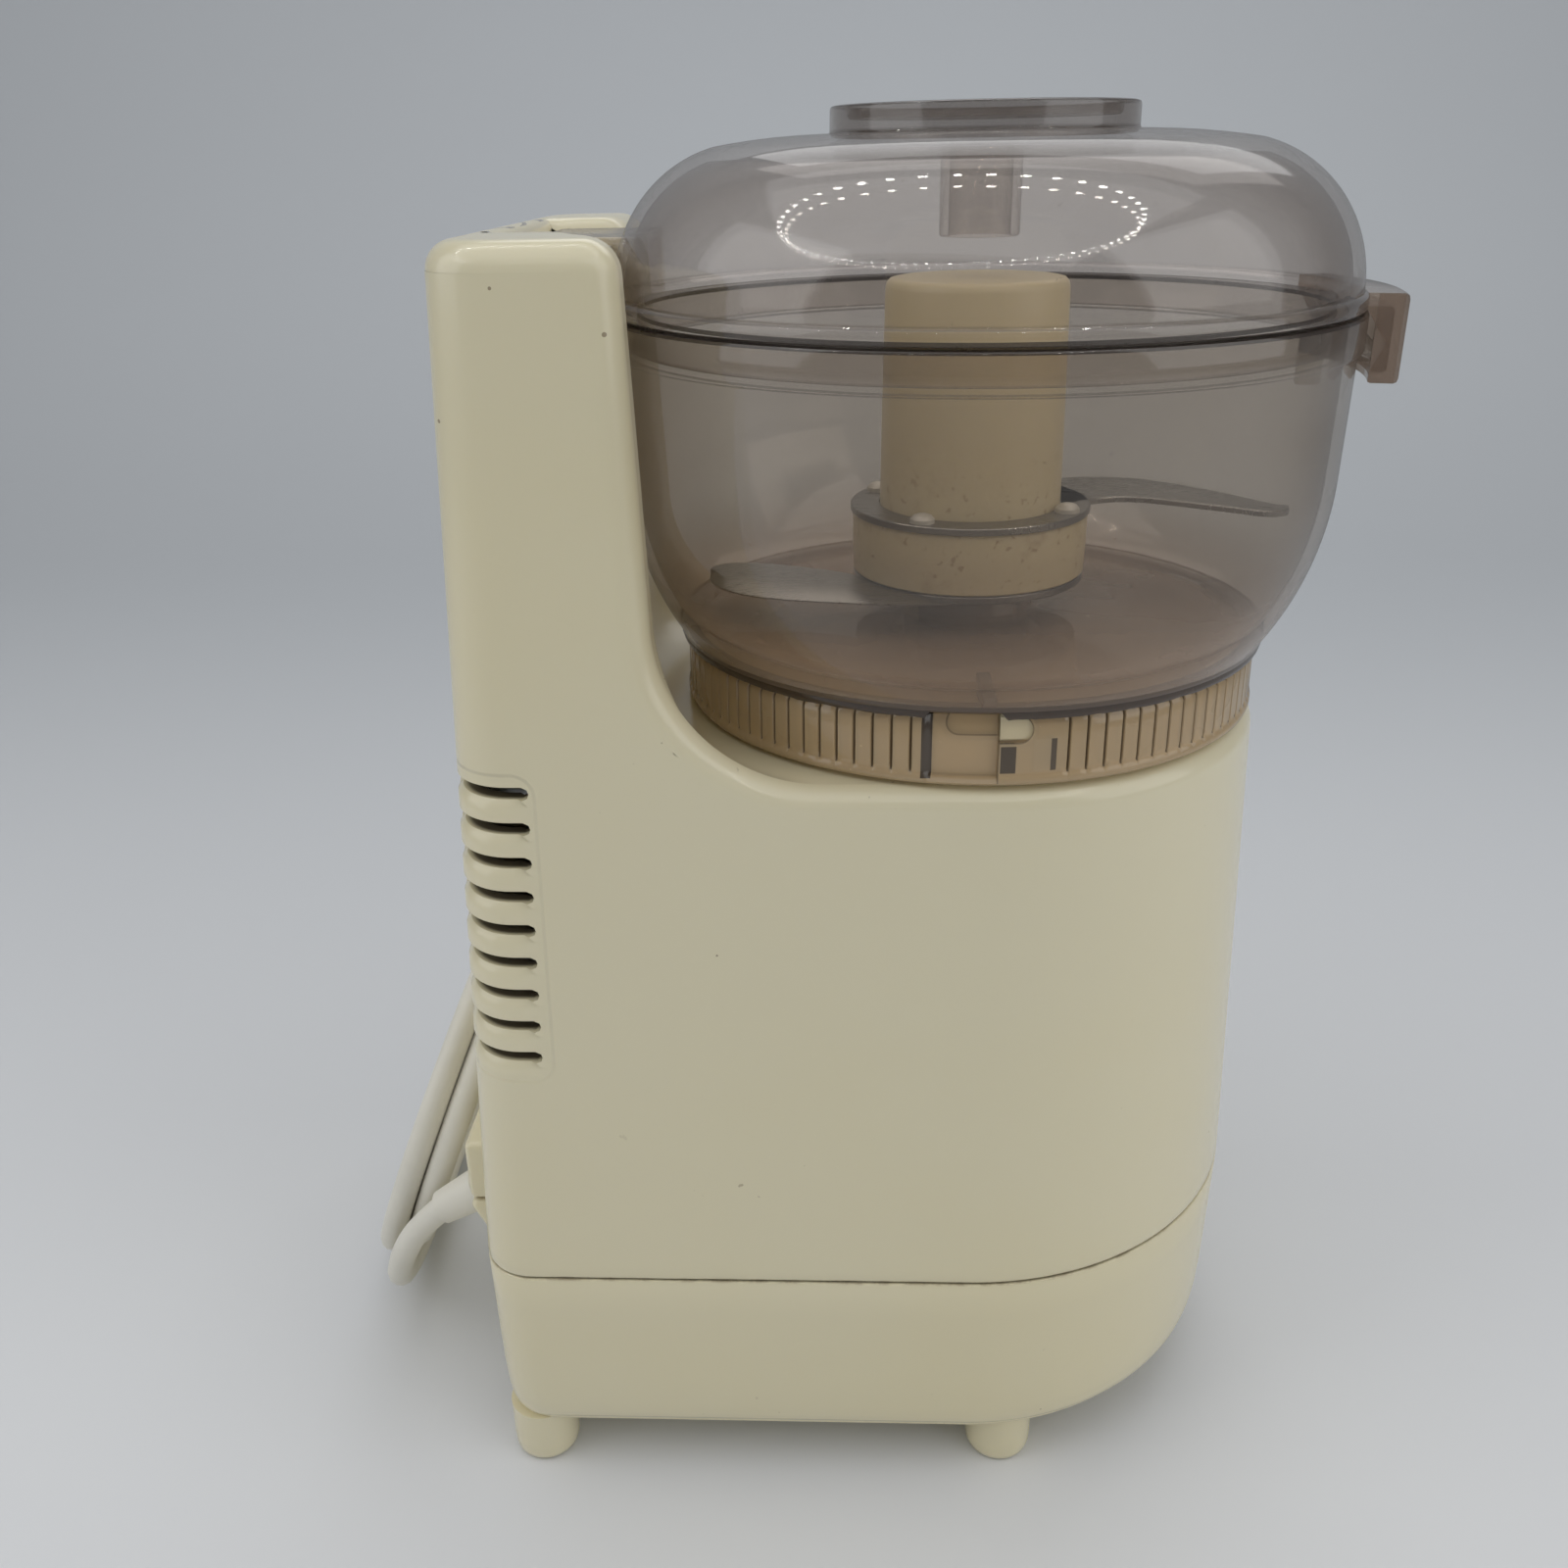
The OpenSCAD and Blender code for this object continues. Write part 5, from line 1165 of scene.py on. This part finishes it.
def led_ring(height, centre, half, count, radius):
    """Small bright discs on an ellipse overhead, which leave dotted highlights in the dome."""
    a = np.linspace(0, 2 * np.pi, count, endpoint=False)[:, None]
    b = np.linspace(0, 2 * np.pi, 8, endpoint=False)[None]
    x = centre[0] + half[0] * np.cos(a) + radius * np.cos(b)
    y = centre[1] + half[1] * np.sin(a) - radius * np.sin(b)
    points = np.stack([x, y, np.full(x.shape, height)], -1).reshape(-1, 3)
    mesh = bpy.data.meshes.new("led_ring")
    mesh.from_pydata(points.tolist(), [], np.arange(count * 8).reshape(count, 8).tolist())
    glow = Finish("led_glow")
    bright = glow.raw("ShaderNodeEmission", None, {0: rgba((1.0, 0.98, 0.94)), 1: 60.0})
    mesh.materials.append(glow.finish(bright.outputs[0]))
    return bpy.data.objects.new("led_ring", mesh)


def add_floor(scene):
    """A floor that bends up into a backdrop in a quarter ellipse."""
    bend = np.radians(np.linspace(4, 90, 20))
    depth = np.concatenate([np.linspace(-3.0, 0.75, 12), 0.75 + 0.55 * np.sin(bend), [1.3]])
    height = np.concatenate([np.zeros(12), 0.55 - 0.55 * np.cos(bend), [4.0]])
    x = np.linspace(-4.0, 4.0, 9)
    grid = grid_of(x, depth[:, None], height[:, None]).reshape(-1, 3)
    index = np.arange(len(grid)).reshape(len(depth), 9)
    quads = np.stack([index[:-1, :-1], index[:-1, 1:], index[1:, 1:], index[1:, :-1]], -1).reshape(-1, 4)
    mesh = bpy.data.meshes.new("floor")
    mesh.from_pydata(grid.tolist(), [], quads.tolist())
    mesh.polygons.foreach_set("use_smooth", np.ones(len(mesh.polygons), dtype=bool))
    floor = bpy.data.objects.new("floor", mesh)
    scene.collection.objects.link(floor)
    mesh.materials.append(floor_finish((0.79, 0.80, 0.815), (0.50, 0.52, 0.54)))


def add_lights(scene, strength):
    """A dim world, four area lamps and the ring of discs."""
    world = bpy.data.worlds.new("soft_room")
    scene.world = world
    world.use_nodes = True
    world.node_tree.nodes["Background"].inputs[0].default_value = (0.80, 0.83, 0.88, 1.0)
    world.node_tree.nodes["Background"].inputs[1].default_value = 0.25
    for name, place, aim, size, power in (
        ("lamp_above", (-0.1, -0.3, 1.6), (0.0, 0.0, 0.1), (2.4, 2.0), 12.0),
        ("lamp_right", (1.3, -0.55, 0.8), (0.0, 0.0, 0.15), (1.3, 1.3), 6.0),
        ("lamp_left", (-1.35, -0.35, 0.8), (0.0, 0.0, 0.15), (1.2, 1.2), 5.0),
        ("lamp_behind", (0.25, 1.0, 1.2), (0.0, 0.0, 0.2), (1.4, 0.7), 3.8),
    ):
        data = bpy.data.lights.new(name, "AREA")
        data.shape, data.size, data.size_y = "RECTANGLE", size[0], size[1]
        data.energy = power * strength
        lamp = bpy.data.objects.new(name, data)
        scene.collection.objects.link(lamp)
        lamp.location = place
        lamp.rotation_mode = "QUATERNION"
        lamp.rotation_quaternion = (Vector(aim) - Vector(place)).to_track_quat("-Z", "Y")
    ring = led_ring(1.1, (-0.19, -0.52), (0.84, 0.68), 64, 0.011)
    scene.collection.objects.link(ring)
    ring.visible_camera = ring.visible_diffuse = ring.visible_shadow = False


def add_camera(scene, lens):
    """The camera, placed in mm from the bowl axis and turned by yaw, pitch and roll in radians."""
    yaw, pitch, roll = -0.045, 0.421, -0.019
    ahead = Vector((math.sin(yaw) * math.cos(pitch), math.cos(yaw) * math.cos(pitch), -math.sin(pitch)))
    right = Vector((math.cos(yaw), -math.sin(yaw), 0.0))
    above = right.cross(ahead)
    level = math.cos(roll) * right + math.sin(roll) * above
    upward = -math.sin(roll) * right + math.cos(roll) * above
    data = bpy.data.cameras.new("camera")
    data.sensor_width, data.lens = 36.0, lens
    data.clip_start, data.clip_end = 0.01, 20.0
    camera = bpy.data.objects.new("camera", data)
    scene.collection.objects.link(camera)
    turn = Matrix((level, upward, -ahead)).transposed()
    place = Vector((-27.4 + AXIS_X, -302.8, 284.1)) * MM
    camera.matrix_world = Matrix.Translation(place) @ turn.to_4x4()
    scene.camera = camera


class PROCESSOR_OT_stage(bpy.types.Operator):
    """Floor, backdrop, lights and camera"""

    bl_idname = "processor.stage"
    bl_label = "Stage"

    def execute(self, context):
        scene = context.scene
        settings = scene.processor_stage
        add_floor(scene)
        add_lights(scene, settings.light)
        add_camera(scene, settings.lens)
        scene.view_settings.view_transform = "Standard"
        return {"FINISHED"}


class PROCESSOR_OT_finishes(bpy.types.Operator):
    """Materials of every piece"""

    bl_idname = "processor.finishes"
    bl_label = "Finishes"

    def execute(self, context):
        scene = context.scene
        clear, blade = scene.processor_clear, scene.processor_blade
        FINISHES["cream_plastic"] = cream_finish(tuple(scene.processor_housing.colour))
        tint, lid_tint, body = tuple(clear.tint), tuple(clear.lid_tint), tuple(clear.body)
        bowl_rims = (254.6, 255.3, 1.0), (247.8, 248.2, 0.5)
        lid_rims = ((248.9, 249.2, 0.3), (255.1, 255.9, 1.0), (258.1, 258.4, 0.4), (291.6, 292.2, 0.8),
                    (287.2, 287.8, 0.7))
        near_floor = 191.0, 212.0, (0.56, 0.39, 0.26), 0.28
        smoked = {
            "smoke_clear": (tint, body, clear.cover + 0.03, bowl_rims, bowl_mark_and_shade, 0.75, near_floor),
            "smoke_lid": (lid_tint, body, clear.cover, lid_rims, lid_details),
            "smoke_hook": ((0.85, 0.78, 0.71), (0.50, 0.40, 0.33), 0.34),
            "smoke_skirt": ((0.92, 0.82, 0.67), (0.74, 0.56, 0.33), 0.50, (), skirt_shade_and_windows, 0.5),
            # the ledge: dark brown, partly thick smoked plastic and partly painted shadow under the bowl's
            # overhang
            "smoke_ledge_and_shadow": ((0.30, 0.22, 0.16), (0.05, 0.032, 0.02), 0.75, (), ledge_shadow_edge, 0.25),
        }
        for name, made_of in smoked.items():
            FINISHES[name] = smoke_finish(name, *made_of)
        FINISHES["hub_plastic"] = hub_finish(tuple(blade.hub))
        FINISHES["blade_steel"] = steel_finish("blade_steel", tuple(blade.steel), 0.22)
        white = tuple(scene.processor_cord.colour)
        FINISHES["cord_white"] = plain_finish("cord_white", white, 0.38, grain=300.0, spread=0.08)
        plain = {
            "rivet_alloy": ((0.74, 0.72, 0.66), 0.38, 0.35),
            "zinc_steel": ((0.62, 0.63, 0.65), 0.3, 1.0),
            "lamination_steel": ((0.30, 0.31, 0.33), 0.45, 1.0),
            "cast_alloy": ((0.58, 0.59, 0.60), 0.45, 1.0),
            "copper_winding": ((0.60, 0.27, 0.12), 0.35, 1.0),
            "sintered_bronze": ((0.60, 0.44, 0.22), 0.45, 1.0),
            "contact_brass": ((0.76, 0.60, 0.28), 0.28, 1.0),
            "carbon": ((0.05, 0.05, 0.05), 0.6, 0.0),
            "belt_rubber": ((0.03, 0.03, 0.03), 0.65, 0.0),
            "nylon_white": ((0.78, 0.78, 0.74), 0.42, 0.0),
            "dark_plastic": ((0.07, 0.07, 0.07), 0.42, 0.0),
        }
        for name, (colour, rough, metal) in plain.items():
            FINISHES[name] = plain_finish(name, colour, rough, metal)
        slots = {row["node"]: row["material_slot"] for row in frame["record"]["subparts"]}
        for node, obj in frame["nodes"].items():
            obj.data.materials.clear()
            obj.data.materials.append(FINISHES[slots[node]])
        return {"FINISHED"}


class PROCESSOR_OT_housing(bpy.types.Operator):
    """Housing, base, feet and the collar that carries the bowl"""

    bl_idname = "processor.housing"
    bl_label = "Housing"

    def execute(self, context):
        far = [mirror(p) for p in housing_patches(far=True)]
        shell = housing_patches() + far + [rear_block(True)]
        piece("housing_shell", shell, "cream_plastic", "housing", ("upper_housing",), crease=50.0)
        near = base_patches()
        base = near + [mirror(p) for p in near] + [rear_block(False)]
        piece("base_shell", base, "cream_plastic", "housing", ("base_tray",), crease=50.0)
        foot = [(0.0, 0.0), (5.6, 0.0), (6.5, 0.35), (7.15, 1.1), (7.5, 2.2), (7.65, 4.5), (7.7, 14.5),
                (0.0, 14.5)]
        places = (-98.6, 56.8), (-98.6, -56.8), (9.7, 54.6), (9.7, -54.6)
        feet = [moved(turned(foot, 40), (x, y, 0.0)) for x, y in places]
        piece("base_feet", feet, "cream_plastic", "housing", ("feet",))
        wall = [(58.6, 174.3), (58.6, 189.2), (58.2, 189.6), (56.6, 189.6), (56.2, 189.2), (56.2, 174.3)]
        post = [(10.4, 174.3), (10.4, 200.0), (9.9, 200.5), (6.0, 200.5), (5.5, 200.0), (5.5, 174.3)]
        collar = [turned(wall, 160), turned(post, 64)]
        section = [(57.8, 184.2), (60.4, 184.2), (60.8, 184.6), (60.8, 188.9), (60.4, 189.4), (57.8, 189.4)]
        for k in range(CATCHES):
            at = 120.0 * k - 90.0
            start, end = at + math.degrees(1.7 / SKIRT_R), at + math.degrees(8.4 / SKIRT_R)
            lug = turned(section, 6, start, end - start)
            collar.append(lug)
            for side in (lug[0][:, 0], lug[0][:, -1]):
                collar.append(sheet(np.stack([side, np.broadcast_to(side.mean(0), side.shape)])))
        piece("bowl_collar", collar, "cream_plastic", "housing")
        return {"FINISHED"}


class PROCESSOR_OT_bowl(bpy.types.Operator):
    """Smoked bowl with its ribbed skirt"""

    bl_idname = "processor.bowl"
    bl_label = "Bowl"

    def execute(self, context):
        piece("bowl_clear", bowl_patches(), "smoke_clear", "bowl", ("bowl",), crease=45.0)
        piece("bowl_skirt", skirt_patches(), "smoke_skirt", "bowl", crease=45.0)
        piece("bowl_ledge", skirt_band(), "smoke_ledge_and_shadow", "bowl")
        return {"FINISHED"}


class PROCESSOR_OT_lid(bpy.types.Operator):
    """Domed lid with its tab, peg and hook"""

    bl_idname = "processor.lid"
    bl_label = "Lid"

    def execute(self, context):
        piece("lid_dome", lid_patches(), "smoke_lid", "lid", ("lid",), crease=45.0)
        piece("lid_tab", tab_patches(), "smoke_lid", "lid", crease=45.0)
        piece("lid_hook", hook_patches(), "smoke_hook", "lid", crease=45.0)
        return {"FINISHED"}


class PROCESSOR_OT_blade(bpy.types.Operator):
    """Hub, two blades and their rivets"""

    bl_idname = "processor.blade"
    bl_label = "Blade"

    def execute(self, context):
        piece("hub_moulding", hub_patches(), "hub_plastic", "blade", ("blade_hub",), crease=45.0)
        upper = blade_patches(
            [(12, 21.2), (20, 25.4), (27, 27.2), (34, 26.8), (41, 24.2), (48, 18.2), (53, 12.6), (57.5, 6.6),
             (61.6, 0.0), (64.4, -4.2), (65.6, -7.2)],
            [(18, -6.0), (25.4, 0.4), (30, 2.6), (34.5, 2.8), (39, 1.2), (44, -1.8), (53, -7.4),
             (59.6, -12.2), (63.0, -12.2), (65.2, -10.2), (65.6, -7.2)], 213.6, 1.5, True)
        piece("blade_upper", upper + [plate_ring(19.4, 25.5, 213.6, 1.5)], "blade_steel", "blade",
              ("upper_blade",), crease=20.0)
        lower = blade_patches(
            [(-2, -24.0), (-8, -25.2), (-16, -25.2), (-24, -24.2), (-32, -22.8), (-40, -20.9), (-46, -18.6),
             (-51, -15.2), (-54.6, -10.4), (-56.2, -5.4), (-56.2, -1.0)],
            [(-12, -14.0), (-22, -9), (-26, -5.4), (-31, -2.4), (-38, 1), (-44, 3.2), (-49, 4.1), (-53, 3.8),
             (-55.4, 2.0), (-56.1, 0.4), (-56.2, -1.0)], 199.3, 1.5, True)
        piece("blade_lower", lower + [plate_ring(17.4, 24.7, 199.3, 1.5)], "blade_steel", "blade",
              ("lower_blade",), crease=20.0)
        dome = [(0.0, 1.9), (1.0, 1.8), (1.9, 1.45), (2.5, 0.8), (2.6, 0.0), (1.2, 0.0), (1.2, -13.0)]
        under = [(1.2, -13.0), (1.2, -15.8), (2.4, -15.9), (2.2, -16.3), (1.4, -16.6), (0.0, -16.7)]
        rivets = [moved(turned(dome + under, 28), (22.2 * math.cos(t), 22.2 * math.sin(t), 215.1))
                  for t in np.radians([60, 150, 240, 330])]
        piece("blade_rivet_heads", rivets, "rivet_alloy", "blade", ("blade_rivets",),
              crease=30.0)
        return {"FINISHED"}


class PROCESSOR_OT_cord(bpy.types.Operator):
    """Mains cord from its relief through the coil to the plug"""

    bl_idname = "processor.cord"
    bl_label = "Cord"

    def execute(self, context):
        radius = context.scene.processor_cord.diameter / 2 / MM
        line = cord_line()
        made = piece("mains_cord", [tube(line, radius)], "cord_white", "housing",
                     ("cord", "cord_coil", "cord_tail"), weld=0.0001)
        return {"FINISHED"}


class PROCESSOR_PT_panel(bpy.types.Panel):
    """Lists the steps that build the food processor"""

    bl_idname = "PROCESSOR_PT_panel"
    bl_label = "Food processor"
    bl_space_type = "VIEW_3D"
    bl_region_type = "UI"
    bl_category = "Food processor"

    def draw(self, context):
        for step in STEPS:
            self.layout.operator(step.bl_idname)


GROUPS = (
    ("processor_housing", HousingSettings),
    ("processor_clear", ClearSettings),
    ("processor_blade", BladeSettings),
    ("processor_cord", CordSettings),
    ("processor_stage", StageSettings),
)
STEPS = (
    PROCESSOR_OT_stage,
    PROCESSOR_OT_finishes,
    PROCESSOR_OT_cord,
    PROCESSOR_OT_housing,
    PROCESSOR_OT_bowl,
    PROCESSOR_OT_lid,
    PROCESSOR_OT_blade,
)


def register():
    for name, group in GROUPS:
        bpy.utils.register_class(group)
        setattr(bpy.types.Scene, name, bpy.props.PointerProperty(type=group))
    for step in (*STEPS, PROCESSOR_PT_panel):
        bpy.utils.register_class(step)


def unregister():
    for step in (PROCESSOR_PT_panel, *reversed(STEPS)):
        bpy.utils.unregister_class(step)
    for name, group in reversed(GROUPS):
        delattr(bpy.types.Scene, name)
        bpy.utils.unregister_class(group)


def main():
    register()
    for step in STEPS:
        group, name = step.bl_idname.split(".")
        getattr(getattr(bpy.ops, group), name)()


if __name__ == "__main__":
    main()
